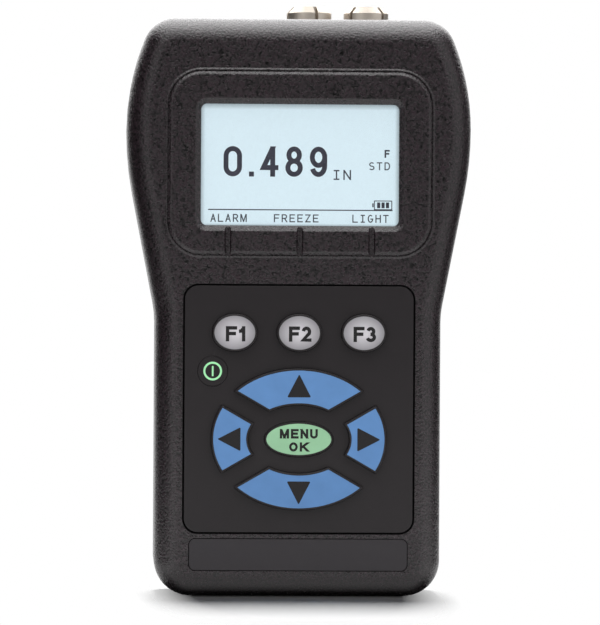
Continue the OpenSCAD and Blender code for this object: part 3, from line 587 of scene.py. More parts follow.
def carve(obj, tool, operation):
    """Cuts a tool out of an object, or joins it on, and removes the tool."""
    cut = obj.modifiers.new("carve", "BOOLEAN")
    cut.operation = operation
    cut.solver = "EXACT"
    cut.object = tool
    depsgraph = bpy.context.evaluated_depsgraph_get()
    mesh = bpy.data.meshes.new_from_object(obj.evaluated_get(depsgraph))
    obj.modifiers.clear()
    obj.data = mesh
    bpy.data.objects.remove(tool)


def finish_piece(obj, body, slot, *replaced):
    """Smooths a piece, ties it to its body and hides the nodes it stands for. The slot is not used."""
    smooth(obj)
    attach(obj, body)
    if replaced:
        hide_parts(*replaced)
    return obj


def quarter(start, end, steps=6):
    """Angles in even steps from a start to an end, given in degrees and returned in radians."""
    return [math.radians(start + (end - start) * i / steps) for i in range(steps + 1)]


# Front housing

# Posts and bosses inside it, with their places from the sides and ends
POST_R = 3.4
POST_HOLE_R = 1.45
BOSS_R = 2.4
BOSS_HOLE_R = 1.05
POST_SINK = 0.6
POST_HOLE_Z = FLOOR_Z - 2
BOSS_HOLE_Z = FLOOR_Z - 1
TOP_POST_IN = 10
TOP_POST_DOWN = 13.5
FOOT_POST_IN = 7.4
FOOT_POST_UP = 1.5
BOARD_HEAD_R = 1.9
FOOT_BOSS_IN = 9.4
MIDDLE_BOSS_IN = 7.4
MIDDLE_BOSS_DOWN = 8.4
TOP_BOSS_IN = 9.8
BAR_SIDES = 32
# How far the cutting tools run past what they cut
TOOL_PAST = 1
HOLE_PAST = 0.5
PANEL_PAST = 0.2
# Kept between a corner radius and half the width
RADIUS_SLACK = 0.001


def post_places():
    top = (BODY_W / 2 - TOP_POST_IN, BODY_H - TOP_POST_DOWN)
    foot = (GRIP_W / 2 - FOOT_POST_IN, FOOT_R + FOOT_POST_UP)
    return [(side * x, y) for x, y in (top, foot) for side in (-1, 1)]


def boss_places():
    screws = extent("board_screws")
    reach = screws.h / 2 - BOARD_HEAD_R
    foot = (GRIP_W / 2 - FOOT_BOSS_IN, screws.y - reach)
    middle = (GRIP_W / 2 - MIDDLE_BOSS_IN, glass.y - glass.h / 2 - MIDDLE_BOSS_DOWN)
    top = (BODY_W / 2 - TOP_BOSS_IN, screws.y + reach)
    return [(side * x, y) for x, y in (foot, middle, top) for side in (-1, 1)]


def bars(name, places, r, z0, z1):
    """Round bars standing on the back, as one tool."""
    shape = Shape()
    for x, y in places:
        ring = ellipse(r, r, x, y, BAR_SIDES)
        low, high = shape.loft([(ring, z0), (ring, z1)])
        shape.fill(low)
        shape.fill(high)
    return shape.object(name, [])


def bezel_ring(d):
    return round_rect(BEZEL_W + 2 * d, BEZEL_H + 2 * d, BEZEL_R + d, 0, bezel_y)


def window_ring(d):
    return round_rect(WINDOW_W + 2 * d, WINDOW_H + 2 * d, WINDOW_R + d, window.x, window.y)


# Profile of the lip as reach and height: shares of its rise outside it, of its width and rise inside
LIP_OUTSIDE = ((1.2, 0), (1, 0.1), (0.4, 0.5))
LIP_INSIDE = ((0.3, 0.9), (0.7, 1), (0.9, 0.9), (1, 0))
# Rounding of the window's bevel at its top and foot, as shares of its edge outwards and upwards
BEVEL_TOP = ((1, 0), (0.3, -0.2), (-0.3, -0.7))
BEVEL_FOOT = ((0.4, 0.3), (0, -0.3))


def surround_rings():
    """From the outside of the lip, over the groove and surround, down to the back of the window frame."""
    moat_z = FACE_Z - MOAT_DEEP
    inset = LIP_W + MOAT_W
    rings = [(bezel_ring(LIP_RISE * out), FACE_Z + LIP_RISE * up) for out, up in LIP_OUTSIDE]
    rings += [(bezel_ring(-LIP_W * inside), FACE_Z + LIP_RISE * up) for inside, up in LIP_INSIDE]
    rings += [(bezel_ring(-LIP_W), moat_z), (bezel_ring(-inset), moat_z), (bezel_ring(-inset), FACE_Z)]
    slope = math.radians(PLATEAU_SLOPE)
    inset += (PLATEAU_Z - FACE_Z - PLATEAU_ROUND * (1 - math.cos(slope))) / math.tan(slope)
    for t in quarter(90 - PLATEAU_SLOPE, 90):
        rings.append((bezel_ring(-inset - PLATEAU_ROUND * (math.sin(slope) - math.cos(t))),
                      PLATEAU_Z - PLATEAU_ROUND * (1 - math.sin(t))))
    foot_z = PLATEAU_Z - BEVEL_DEEP
    rings += [(window_ring(BEVEL + BEVEL_EDGE * out), PLATEAU_Z + BEVEL_EDGE * up) for out, up in BEVEL_TOP]
    rings += [(window_ring(BEVEL_EDGE * out), foot_z + BEVEL_EDGE * up) for out, up in BEVEL_FOOT]
    rings += [(window_ring(0), gasket.front), (window_ring(WINDOW_LAND), gasket.front)]
    return rings + [(window_ring(WINDOW_LAND), FLOOR_Z)]


def recess_rings(ring, edge, floor_z):
    """From the face over a softly broken edge down to the floor of a recess."""
    rings = [(ring(edge * (1 - math.sin(t))), FACE_Z - edge * (1 - math.cos(t))) for t in quarter(0, 90, 3)]
    return rings + [(ring(0), floor_z)]


def panel_ring(d):
    """Outline of the keypad panel, moved out by d."""
    return round_rect(panel.w + 2 * d, panel.h + 2 * d, PANEL_R + d, panel.x, panel.y)


def panel_recess(d):
    return panel_ring(PANEL_GAP + d)


def label_recess(d):
    out = LABEL_GAP + d
    return round_rect(label.w + 2 * out, label.h + 2 * out, LABEL_R + out, label.x, label.y)


def pointer_tool():
    """Three round-ended grooves from the window's lower edge across the surround."""
    low = bezel_y - BEZEL_H / 2 - POINTER_PAST
    high = window.y - WINDOW_H / 2 - POINTER_PAST
    floor_z = FACE_Z - POINTER_DEEP
    shape = Shape()
    for i in (-1, 0, 1):
        def slot(d):
            w, h = POINTER_W + 2 * d, high - low + 2 * d
            return round_rect(w, h, w / 2 - RADIUS_SLACK, window.x + i * POINTER_PITCH, (high + low) / 2)
        rings = [(slot(-POINTER_HOLLOW * (1 - math.sin(t))), floor_z + POINTER_HOLLOW * (1 - math.cos(t)))
                 for t in quarter(0, 90, 5)]
        rings += [(slot(0), PLATEAU_Z - POINTER_EDGE_DEEP), (slot(POINTER_EDGE), PLATEAU_Z),
                  (slot(POINTER_OUT), PLATEAU_Z + POINTER_OUT)]
        first, last = shape.loft(rings)
        shape.fill(first)
        shape.fill(last)
    return shape.object("pointer_tool", [])


def key_hole_tool():
    shape = Shape()
    for key in KEY_SHAPES:
        ring = key_ring(key, -KEY_RIM - KEY_GAP)
        first, last = shape.loft([(ring, FLOOR_Z - HOLE_PAST), (ring, panel.back + PANEL_PAST)])
        shape.fill(first)
        shape.fill(last)
    return shape.object("key_hole_tool", [])


# Rounding of the edge at the seam, as shares of its size inwards and upwards
SEAM_PROFILE = ((1, 0), (0.3, 0.35), (0, 1))


def front_housing():
    shape = Shape()
    rim, face = shape.loft(
        [(outline(SEAM * inside), SPLIT_Z + SEAM * up) for inside, up in SEAM_PROFILE]
        + [(outline(EDGE_IN * (1 - math.cos(t))), FACE_Z - EDGE_DEEP * (1 - math.sin(t)))
           for t in quarter(0, 90, 24)]
    )
    lip, pocket = shape.loft(surround_rings())
    # The walls and floors of the recesses take the painted shade
    recess, recess_floor = shape.loft(recess_rings(panel_recess, PANEL_RECESS_EDGE, panel.back), 1)
    plate, plate_floor = shape.loft(recess_rings(label_recess, LABEL_RECESS_EDGE, label.back), 1)
    shape.fill(face, lip, recess, plate)
    shape.fill(recess_floor, material=1)
    shape.fill(plate_floor, material=1)
    inner_rim, inner_face = shape.loft(
        [(outline(WALL), SPLIT_Z)]
        + [(outline(WALL + (EDGE_IN - WALL) * (1 - math.cos(t))),
            FACE_Z - EDGE_DEEP + (EDGE_DEEP - FACE_WALL) * math.sin(t)) for t in quarter(0, 90, 8)]
    )
    shape.strip(rim, inner_rim)
    shape.fill(inner_face, pocket)
    obj = shape.object("front_shell", [PLASTIC, RECESS_PAINTED_SHADE])
    posts, bosses, foot_z = post_places(), boss_places(), FLOOR_Z + POST_SINK
    carve(obj, bars("posts", posts, POST_R, SPLIT_Z, foot_z), "UNION")
    carve(obj, bars("bosses", bosses, BOSS_R, board.front, foot_z), "UNION")
    carve(obj, bars("post_holes", posts, POST_HOLE_R, SPLIT_Z - TOOL_PAST, POST_HOLE_Z), "DIFFERENCE")
    carve(obj, bars("boss_holes", bosses, BOSS_HOLE_R, board.front - TOOL_PAST, BOSS_HOLE_Z), "DIFFERENCE")
    carve(obj, key_hole_tool(), "DIFFERENCE")
    carve(obj, pointer_tool(), "DIFFERENCE")
    return finish_piece(obj, "housing", "housing", "front_housing")


# Screws in the back

SCREW_R = 1.4
SCREW_HEAD_R = 2.5
SCREW_TIP = 0.4
HEAD_EDGE = 0.35
SOCKET_R = 1.125
SOCKET_SHARE = 0.45
HOUSING_HEAD_H = 1.9
DOOR_HEAD_H = 1.2
SCREW_SIDES = 48


def circle(r, x, y, n):
    """Circle about a middle, as n points."""
    angles = [2 * math.pi * i / n for i in range(n)]
    return [(x + r * math.cos(t), y + r * math.sin(t)) for t in angles]


def hexagon(r, x, y, n):
    """Hexagon with its corners at a radius about a middle, as n points with one at each corner."""
    angles = [2 * math.pi * i / n for i in range(n)]
    half_side = math.pi / 6
    reach = [r * math.cos(half_side) / math.cos(t % (2 * half_side) - half_side) for t in angles]
    return [(x + d * math.cos(t), y + d * math.sin(t)) for d, t in zip(reach, angles)]


def screw_set(node, places, head_h):
    """Screws that point into the face, with rounded heads and six-sided sockets."""
    size = extent(node)
    seat_z = size.back + head_h
    profile = [(SCREW_R - SCREW_TIP, size.front), (SCREW_R, size.front - SCREW_TIP),
               (SCREW_R, seat_z), (SCREW_HEAD_R, seat_z)]
    profile += [(SCREW_HEAD_R - HEAD_EDGE * (1 - math.cos(t)), size.back + HEAD_EDGE * (1 - math.sin(t)))
                for t in quarter(0, 90)]
    shape = Shape()
    for x, y in places:
        tip, rim = shape.loft([(circle(r, x, y, SCREW_SIDES), z) for r, z in profile])
        ring = hexagon(SOCKET_R, x, y, SCREW_SIDES)
        # The socket walls and floor take the painted shade
        socket, socket_floor = shape.loft([(ring, size.back), (ring, size.back + head_h * SOCKET_SHARE)], 1)
        shape.strip(rim, socket)
        shape.fill(tip)
        shape.fill(socket_floor, material=1)
    obj = shape.object(node[:-1] + "_set", [STEEL, SOCKET_PAINTED_SHADE])
    return finish_piece(obj, "housing", "steel", node)


def door_screw_places():
    size = extent("battery_door_screws")
    return [(size.x, size.y + side * (size.h / 2 - SCREW_HEAD_R)) for side in (-1, 1)]


# Keypad

def keypad_mat():
    """The panel between the keys, with softly rounded edges."""
    edge = PANEL_EDGE
    shape = Shape()
    low, top = shape.loft([(panel_ring(0), panel.back)] + [
        (panel_ring(-edge * (1 - math.cos(t))), panel.front - edge * (1 - math.sin(t)))
        for t in quarter(0, 90, 4)])
    lows, tops = [low], [top]
    out = -KEY_RIM - SEEN_GAP
    for key in KEY_SHAPES:
        low, top = shape.loft([(key_ring(key, out), panel.back)] + [
            (key_ring(key, out - edge * (1 - math.cos(t))), panel.front - edge * (1 - math.sin(t)))
            for t in quarter(0, 90, 3)])
        lows.append(low)
        tops.append(top)
    shape.fill(*lows)
    shape.fill(*tops)
    obj = shape.object("keypad_mat", [RUBBER])
    return finish_piece(obj, "housing", "keypad", "keypad_panel")


def key_piece(key, print_material, slot, edge=KEY_EDGE):
    """A key with a rounded edge, a printed top, its flange and its stem."""
    size = extent(key)
    flange_z = FLOOR_Z - SLIP
    foot_z = flange_z - FLANGE_T
    shape = Shape()
    flange = key_ring(key, -KEY_RIM - KEY_FLANGE)
    rings = [(flange, foot_z), (flange, flange_z), (key_ring(key, -KEY_RIM), flange_z)]
    rings += [(key_ring(key, -KEY_RIM + edge * (1 - math.cos(t))), size.front - edge * (1 - math.sin(t)))
              for t in quarter(0, 90, 5)]
    low, shoulder = shape.loft(rings)
    printed = shape.ring(key_ring(key, 0), size.front)
    shape.strip(shoulder, printed)
    shape.fill(printed, material=1)
    stem_x, stem_y = stem_place(key, size)
    ring = ellipse(STEM_R, STEM_R, stem_x, stem_y, BAR_SIDES)
    stem, stem_end = shape.loft([(ring, foot_z), (ring, size.back)])
    shape.fill(low, stem)
    shape.fill(stem_end)
    obj = shape.object(key + "_cap", [RUBBER, print_material])
    return finish_piece(obj, key, slot, key)


def stem_place(key, size):
    """Middle of a key's stem: the middle of the key, or the middle of an arrow key's width."""
    reach = [(outer + inner) / 2 for outer, inner in zip(PAD_AXES, HOLE_AXES)]
    return {
        "up_key": (0, pad_y + reach[1]), "down_key": (0, pad_y - reach[1]),
        "left_key": (-reach[0], pad_y), "right_key": (reach[0], pad_y),
    }.get(key, (size.x, size.y))


# Legends and display marks

PRINT_T = 0.03
STROKE_STEP = 0.004
MITRE_LIMIT = 2.0
TINY = 1e-6


def flat_piece(name, rings, z, material, body, slot, holes=(), thick=PRINT_T):
    """A thin flat mark of one or more outlines, the first with holes."""
    shape = Shape()
    for i, points in enumerate(rings):
        loops = [points] + (list(holes) if i == 0 else [])
        made = [shape.loft([(loop, z), (loop, z + thick)]) for loop in loops]
        shape.fill(*[pair[0] for pair in made])
        shape.fill(*[pair[1] for pair in made])
    return finish_piece(shape.object(name, [material]), body, slot)


def bow(x, y, rx, ry, a0, a1, n=12):
    """Points on part of an ellipse, for a stroke of a letter."""
    angles = [math.radians(a0 + (a1 - a0) * i / n) for i in range(n + 1)]
    return [(x + rx * math.cos(a), y + ry * math.sin(a)) for a in angles]


# Strokes of each letter in a box one wide and one high
LETTERS = {
    "A": [[(0, 0), (0.5, 1)], [(1, 0), (0.5, 1)], [(0.18, 0.32), (0.82, 0.32)]],
    "D": [[(0, 0), (0, 1)], [(0, 1)] + bow(0.45, 0.5, 0.55, 0.5, 90, -90) + [(0, 0)]],
    "E": [[(1, 1), (0, 1), (0, 0), (1, 0)], [(0, 0.52), (0.85, 0.52)]],
    "F": [[(0, 0), (0, 1), (1, 1)], [(0, 0.52), (0.85, 0.52)]],
    "G": [bow(0.5, 0.5, 0.5, 0.5, 50, 350, 20) + [(1, 0.46), (0.6, 0.46)]],
    "H": [[(0, 0), (0, 1)], [(1, 0), (1, 1)], [(0, 0.52), (1, 0.52)]],
    "I": [[(0.5, 0), (0.5, 1)], [(0.15, 1), (0.85, 1)], [(0.15, 0), (0.85, 0)]],
    "K": [[(0, 0), (0, 1)], [(0, 0.36), (0.95, 1)], [(0.36, 0.58), (1, 0)]],
    "L": [[(0, 1), (0, 0), (1, 0)]],
    "M": [[(0, 0), (0, 1)], [(1, 0), (1, 1)], [(0.06, 1), (0.5, 0)], [(0.94, 1), (0.5, 0)]],
    "N": [[(0, 0), (0, 1)], [(1, 0), (1, 1)], [(0.04, 1), (0.96, 0)]],
    "O": [bow(0.5, 0.5, 0.5, 0.5, 0, 360, 32)],
    "R": [[(0, 0), (0, 1)], [(0, 1)] + bow(0.6, 0.74, 0.36, 0.26, 90, -90) + [(0, 0.48)],
          [(0.5, 0.48), (1, 0)]],
    "S": [bow(0.5, 0.75, 0.46, 0.25, 30, 270) + bow(0.5, 0.25, 0.5, 0.25, 90, -150)[1:]],
    "T": [[(0, 1), (1, 1)], [(0.5, 1), (0.5, 0)]],
    "U": [[(0, 1)] + bow(0.5, 0.36, 0.5, 0.36, 180, 360) + [(1, 1)]],
    "Z": [[(0, 1), (1, 1)], [(0.95, 1), (0.05, 0)], [(0, 0), (1, 0)]],
    "0": [bow(0.5, 0.72, 0.5, 0.28, 0, 180) + bow(0.5, 0.28, 0.5, 0.28, 180, 360) + [(1, 0.72)]],
    "1": [[(1, 0), (1, 1)], [(-0.4, 0.72), (0.35, 0.74), (0.95, 0.98)]],
    "2": [bow(0.5, 0.7, 0.46, 0.3, 170, -32) + [(0.04, 0), (1, 0)]],
    "3": [bow(0.48, 0.75, 0.42, 0.25, 165, -90)[:-1] + [(0.42, 0.52)],
          bow(0.48, 0.26, 0.52, 0.26, 90, -165)],
    "4": [[(0.74, 0), (0.74, 1)], [(0.7, 1), (0, 0.26), (1, 0.26)]],
    "8": [bow(0.5, 0.76, 0.42, 0.24, 0, 360, 28), bow(0.5, 0.26, 0.5, 0.26, 0, 360, 28)],
    "9": [bow(0.5, 0.68, 0.5, 0.32, 0, 360, 28), [(1, 0.68)] + bow(0.5, 0.34, 0.5, 0.34, 0, -160)],
    ".": [[(0.5, 0), (0.5, 0)]],
}
LETTER_W = {".": 0.29, "0": 1.06, "1": 0.6, "2": 0.93, "3": 0.93, "M": 1.2}
Legend = namedtuple("Legend", "text half_w low high stroke gap shift")


def cut_level(y, half, low, high):
    """The lettering's foot or head if a stroke ends there, or None."""
    if abs(y - low - half) < TINY:
        return low
    if abs(y - high + half) < TINY:
        return high
    return None


def stroke_sides(points, half, low, high):
    """Both edges of a stroke, its ends squared off or cut level with the lettering's foot or head."""
    if points[0] == points[-1] and len(points) == 2:
        x, y = points[0]
        return [(x - half, y - half), (x + half, y - half)], [(x - half, y + half), (x + half, y + half)]
    closed = math.dist(points[0], points[-1]) < TINY
    path = points[:-1] if closed else points
    n = len(path)
    sides = ([], [])
    for i, point in enumerate(path):
        before = path[i - 1] if closed or i else None
        after = path[(i + 1) % n] if closed or i < n - 1 else None
        steps = [(b[0] - a[0], b[1] - a[1]) for a, b in ((before, point), (point, after)) if a and b]
        units = [(x / math.hypot(x, y), y / math.hypot(x, y)) for x, y in steps]
        along = (sum(u[0] for u in units), sum(u[1] for u in units))
        length = math.hypot(*along)
        along = (along[0] / length, along[1] / length)
        spread = half * min(MITRE_LIMIT, len(units) / length)
        for side, sign in zip(sides, (1, -1)):
            x, y = point[0] - sign * along[1] * spread, point[1] + sign * along[0] * spread
            if len(units) == 1:
                way = -1 if before is None else 1
                edge = cut_level(point[1], half, low, high)
                if min(abs(along[0]), abs(along[1])) < TINY:
                    x, y = x + way * along[0] * half, y + way * along[1] * half
                elif edge is not None:
                    x, y = x + along[0] * (edge - y) / along[1], edge
            side.append((x, y))
    if closed:
        for side in sides:
            side.append(side[0])
    return sides


def words(name, text, box, stroke, z, material, body, slot, gap=0.4, thick=PRINT_T):
    """Flat lettering that fills a box of (left, bottom, right, top)."""
    left, low, right, high = box
    widths = [LETTER_W.get(letter, 1.0) for letter in text]
    scale = (right - left) / (sum(widths) + gap * (len(text) - 1))
    half = stroke / 2
    rise = high - low - stroke
    shape = Shape()
    for letter, width in zip(text, widths):
        w = width * scale
        top = z + thick
        for points in LETTERS[letter]:
            path = [(left + half + u * (w - stroke), low + half + v * rise) for u, v in points]
            edges = stroke_sides(path, half, low, high)
            top += STROKE_STEP
            under, over = ([[shape.bm.verts.new(place(x, y, level)) for x, y in edge] for edge in edges]
                           for level in (z, top))
            rails = [under[0], over[0], over[1], under[1]]
            for a, b in zip(rails, rails[1:] + rails[:1]):
                for i in range(len(a) - 1):
                    shape.bm.faces.new((a[i], a[i + 1], b[i + 1], b[i]))
            for i in (0, -1):
                shape.bm.faces.new([rail[i] for rail in rails])
        left += w + gap * scale
    return finish_piece(shape.object(name, [material]), body, slot)


def triangle(tip, turn, base=6.0, height=5.8, soft=0.25):
    """Triangle with soft corners whose tip lies at a point and points along a turn."""
    corners = [(0, 0), (-height, base / 2), (-height, -base / 2)]
    points = []
    for i, corner in enumerate(corners):
        for other in (corners[i - 1], corners[(i + 1) % 3]):
            length = math.dist(corner, other)
            points.append(tuple(c + (o - c) * soft / length for c, o in zip(corner, other)))
    c, s = math.cos(math.radians(turn)), math.sin(math.radians(turn))
    return [(tip[0] + x * c - y * s, tip[1] + x * s + y * c) for x, y in points]


# Reach of the arrow marks from the middle of the pad, across and up
MARK_REACH = (20.4, 16.3)


def arrow_marks():
    """Dark triangles on the arrow keys."""
    across, up = MARK_REACH
    marks = {"up": (0, up, 90), "down": (0, -up, 270), "left": (-across, 0, 180), "right": (across, 0, 0)}
    for side, (x, y, turn) in marks.items():
        key = side + "_key"
        z = extent(key).front - PRINT_T / 2
        flat_piece(side + "_mark", [triangle((x, pad_y + y), turn)], z, INK, key, "keypad")


# Lettering of the keys, in millimetres about the middle of each key
LEGENDS = {
    "menu_key": [Legend("MENU", 4.75, 0.2, 2.58, 0.58, 0.24, 0.0),
                 Legend("OK", 2.4, -3.05, -0.75, 0.58, 0.24, 0.0)],
    "function_key_1": [Legend("F1", 2.44, -2.2, 1.6, 0.86, 0.12, 0.18)],
    "function_key_2": [Legend("F2", 2.82, -2.2, 1.6, 0.86, 0.12, 0.18)],
    "function_key_3": [Legend("F3", 2.82, -2.2, 1.6, 0.86, 0.12, 0.18)],
}
POWER_RING_R = 2.33
POWER_RING_W = 0.5
POWER_BAR_W = 0.42
POWER_BAR_H = 2.55
POWER_BAR_R = 0.15


def key_legends():
    for key, lines in LEGENDS.items():
        e = extent(key)
        for line in lines:
            x = e.x + line.shift
            box = (x - line.half_w, e.y + line.low, x + line.half_w, e.y + line.high)
            words(f"{key}_{line.text.lower()}_legend", line.text, box, line.stroke, e.front - PRINT_T / 2,
                  INK, key, "keypad", line.gap)
    e = extent("power_key")
    z = e.front - PRINT_T / 2
    hole_r = POWER_RING_R - POWER_RING_W
    flat_piece("power_ring", [ellipse(POWER_RING_R, POWER_RING_R, e.x, e.y)], z, BRIGHT_GREEN, "power_key",
               "green_key", [ellipse(hole_r, hole_r, e.x, e.y)])
    bar = round_rect(POWER_BAR_W, POWER_BAR_H, POWER_BAR_R, e.x, e.y)
    flat_piece("power_bar", [bar], z, BRIGHT_GREEN, "power_key", "green_key")


# Words on the display: name, text, box about the middle of the window, stroke
DISPLAY_WORDS = (
    ("reading", "0.489", (-19.1, -2.9, 6.9, 4.7), 1.25),
    ("unit", "IN", (8.3, -3.6, 12.9, -1.1), 0.34),
    ("upper_flag", "F", (21.3, 2.0, 22.6, 4.0), 0.4),
    ("lower_flag", "STD", (17.4, -1.1, 22.7, 0.9), 0.28),
    ("soft_word_1", "ALARM", (-22.3, -14.3, -13.2, -12.3), 0.28),
    ("soft_word_2", "FREEZE", (-6.4, -14.3, 4.8, -12.3), 0.28),
    ("soft_word_3", "LIGHT", (13.3, -14.3, 22.4, -12.3), 0.28),
)
# Marks on the display: place from the middle of the window, width, height, corner radius
DISPLAY_LINE = (0.25, -11.2, 46.3, 0.28, 0.05)
CELL_CASE = (21.0, -9.9, 4.6, 2.4, 0.2)
CELL_HOLLOW = (21.0, -9.9, 4.15, 1.95, 0.1)
CELL_NUB = (18.45, -9.9, 0.35, 1.0, 0.05)
CELL_BARS = [(19.9 + 1.1 * i, -9.9, 0.8, 1.45, 0.05) for i in range(3)]
DISPLAY_INK_T = 0.05


def display_marks():
    """A plain reading, its unit, a battery mark, a line and the words over the function keys."""
    def rect(x, y, w, h, r):
        return round_rect(w, h, r, window.x + x, window.y + y)

    def mark(name, rings, holes=()):
        flat_piece(name, rings, glass.front, LCD_INK, "housing", "display", holes, DISPLAY_INK_T)

    for name, letters, (left, low, right, high), stroke in DISPLAY_WORDS:
        box = (window.x + left, window.y + low, window.x + right, window.y + high)
        words("display_" + name, letters, box, stroke, glass.front, LCD_INK, "housing", "display",
              thick=DISPLAY_INK_T)
    mark("display_line", [rect(*DISPLAY_LINE)])
    mark("display_cell", [rect(*CELL_CASE)], [rect(*CELL_HOLLOW)])
    mark("display_cell_bars", [rect(*bar) for bar in CELL_BARS] + [rect(*CELL_NUB)])


front_housing()
screw_set("housing_screws", post_places(), HOUSING_HEAD_H)
screw_set("battery_door_screws", door_screw_places(), DOOR_HEAD_H)
keypad_mat()
for key in FUNCTION_KEYS:
    key_piece(key, GREY_PAINTED_GLOW, "grey_key")
for side in ("up", "down", "left", "right"):
    key_piece(side + "_key", BLUE, "blue_key")
key_piece("menu_key", GREEN, "green_key")
key_piece("power_key", RUBBER, "keypad", POWER_EDGE)
arrow_marks()
key_legends()
display_marks()


# Stage, light and camera

# Floor in metres: half its side, and the runs over which it fades for the camera and for other rays
FLOOR_HALF = 0.6
FADE_START = 0.11
SEEN_FADE_END = 0.17
FADE_END = 0.3
SEEN_NARROW = 4.2
# Run in millimetres behind the face over which the floor's mirror image starts
GLOSS_RUN = 4

# Picture height in pixels, millimetres on the face for each pixel, and the camera in metres and degrees
PICTURE_H = 625
FACE_SCALE = 0.25
FRAME_H = PICTURE_H * FACE_SCALE * MM
CAMERA_FAR = 1.2
CAMERA_SIDE = -2.5
CAMERA_ROLL = 0.33
AIM = place(0.15, 71.2, FACE_Z)

# Strength of the dim room, and the part of the background that metal and glass see as white
ROOM_LIGHT = 0.05
BEHIND_START = 0.8
BEHIND_FULL = 0.95


def stage():
    """White floor that fades into the white background away from the object."""
    mesh = bpy.data.meshes.new("floor")
    corners = [(x * FLOOR_HALF, y * FLOOR_HALF, 0) for x, y in ((-1, -1), (1, -1), (1, 1), (-1, 1))]
    mesh.from_pydata(corners, [], [(0, 1, 2, 3)])
    floor = bpy.data.objects.new("floor", mesh)
    bpy.context.scene.collection.objects.link(floor)
    s = Surface("floor_white", (0.9, 0.9, 0.9, 1.0), 0.9, specular=0.0)
    path = s.nodes.new("ShaderNodeLightPath")

    def fade(scale, end):
        oval = s.nodes.new("ShaderNodeMapping")
        oval.inputs["Scale"].default_value = (scale, 1, 1)
        s.links.new(s.where, oval.inputs["Vector"])
        reach = s.nodes.new("ShaderNodeVectorMath")
        reach.operation = "LENGTH"
        s.links.new(oval.outputs["Vector"], reach.inputs[0])
        return s.spread(reach.outputs["Value"], 1.0, 0.0, FADE_START, end)

    seen = s.nodes.new("ShaderNodeMix")
    s.links.new(path.outputs["Is Camera Ray"], seen.inputs["Factor"])
    s.links.new(fade(1, FADE_END), seen.inputs["A"])
    s.links.new(fade(SEEN_NARROW, SEEN_FADE_END), seen.inputs["B"])
    s.links.new(seen.outputs["Result"], s.shader.inputs["Alpha"])
    s.shader.inputs["Emission Color"].default_value = (1, 1, 1, 1)
    face_y, start_y = place(0, 0, FACE_Z).y, place(0, 0, FACE_Z - GLOSS_RUN).y
    ahead = s.spread(s.axes()["Y"], 1.0, 0.0, face_y, start_y)
    mirrored = s.product(path.outputs["Is Glossy Ray"], ahead)
    s.links.new(mirrored, s.shader.inputs["Emission Strength"])
    mesh.materials.append(s.material)
    return floor


def lamp(name, at, size, watts, aim, floor, on_floor, shape="RECTANGLE", left_out=()):
    """A soft lamp that lights only the floor, or only the object apart from the nodes left out."""
    light = bpy.data.lights.new(name, "AREA")
    light.shape = shape
    light.size, light.size_y = size
    light.energy = watts
    obj = bpy.data.objects.new(name, light)
    obj.location = at
    obj.rotation_euler = (Vector(aim) - Vector(at)).to_track_quat("-Z", "Y").to_euler()
    obj.visible_camera = False
    bpy.context.scene.collection.objects.link(obj)
    group = bpy.data.collections.new(name + "_receivers")
    for other in [floor] + [frame["nodes"][node] for node in left_out]:
        group.objects.link(other)
    for member in group.collection_objects:
        member.light_linking.link_state = "INCLUDE" if on_floor else "EXCLUDE"
    obj.light_linking.receiver_collection = group


def world():
    """White background, also as metal and glass see it behind the object, and a dim room in front."""
    w = bpy.data.worlds.new("studio")
    bpy.context.scene.world = w
    w.use_nodes = True
    nodes, links = w.node_tree.nodes, w.node_tree.links
    path = nodes.new("ShaderNodeLightPath")
    where = nodes.new("ShaderNodeSeparateXYZ")
    links.new(nodes.new("ShaderNodeTexCoord").outputs["Generated"], where.inputs[0])
    behind = nodes.new("ShaderNodeMapRange")
    behind.inputs["From Min"].default_value = BEHIND_START
    behind.inputs["From Max"].default_value = BEHIND_FULL
    links.new(where.outputs["Y"], behind.inputs["Value"])

    def combine(operation, a, b):
        node = nodes.new("ShaderNodeMath")
        node.operation = operation
        links.new(a, node.inputs[0])
        links.new(b, node.inputs[1])
        return node.outputs[0]

    mirrored = combine("MULTIPLY", path.outputs["Is Glossy Ray"], behind.outputs["Result"])
    through = combine("MAXIMUM", path.outputs["Is Camera Ray"], path.outputs["Is Transmission Ray"])
    strength = nodes.new("ShaderNodeMapRange")
    strength.inputs["To Min"].default_value = ROOM_LIGHT
    strength.inputs["To Max"].default_value = 1.0
    links.new(combine("MAXIMUM", through, mirrored), strength.inputs["Value"])
    nodes["Background"].inputs["Color"].default_value = (1, 1, 1, 1)
    links.new(strength.outputs["Result"], nodes["Background"].inputs["Strength"])


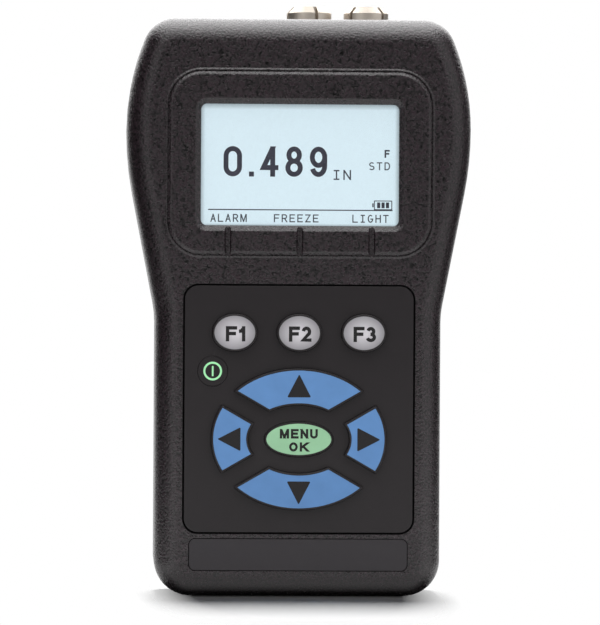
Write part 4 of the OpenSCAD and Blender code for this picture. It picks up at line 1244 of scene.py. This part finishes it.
def camera():
    data = bpy.data.cameras.new("camera")
    data.lens = data.sensor_width * CAMERA_FAR / FRAME_H
    obj = bpy.data.objects.new("camera", data)
    turn = math.radians(CAMERA_SIDE)
    obj.location = AIM + CAMERA_FAR * Vector((math.sin(turn), -math.cos(turn), 0))
    look = (AIM - obj.location).to_track_quat("-Z", "Y").to_matrix()
    obj.rotation_euler = look.to_euler()
    obj.rotation_euler.rotate_axis("Z", math.radians(CAMERA_ROLL))
    bpy.context.scene.collection.objects.link(obj)
    bpy.context.scene.camera = obj


floor = stage()
middle = place(0, BODY_H / 2, 0)
foot = place(0, 0, 0)
# Lamps: name, place, size, watts, the point it faces, and whether it lights the floor or the object
LAMPS = (
    ("floor_light", (0, 0.54, 1.85), (0.3, 0.75), 43.0, middle, True),
    ("left_light", (-0.8, -0.92, 0.3), (0.9, 1.3), 3.2, middle, False),
    ("right_light", (1.09, -0.5, 0.3), (1.5, 1.3), 6.2, middle, False),
    ("low_light", (0, -0.36, 0.0), (0.8, 0.08), 0.28, foot, False),
)
for name, at, size, watts, aim, on_floor in LAMPS:
    lamp(name, at, size, watts, aim, floor, on_floor)

# Arch of lamps over the object from front to back, each a rise from the front in degrees and its watts
ARCH = ((28, 0.6), (45, 1.9), (62, 3.1), (80, 4.5), (97, 4.9), (114, 4.1), (131, 3.3), (148, 2.0), (165, 1.4))
ARCH_R = 0.75
ARCH_W = 1.3
ARCH_OVERLAP = 1.2
# Lamps that rise between these angles leave the ring nuts out
NUTS = ("left_socket_nut", "right_socket_nut")
NUT_SHADE = (70, 105)
half_step = math.radians((ARCH[1][0] - ARCH[0][0]) / 2)
strip_w = ARCH_OVERLAP * 2 * ARCH_R * math.tan(half_step)
head = place(0, BODY_H, FACE_Z)
for rise, watts in ARCH:
    turn = math.radians(rise)
    at = head + ARCH_R * Vector((0, -math.cos(turn), math.sin(turn)))
    left_out = NUTS if NUT_SHADE[0] < rise < NUT_SHADE[1] else ()
    lamp(f"arch_light_{rise}", at, (ARCH_W, strip_w), watts, head, floor, False, "ELLIPSE", left_out)
world()
camera()
bpy.context.scene.view_settings.view_transform = "Standard"
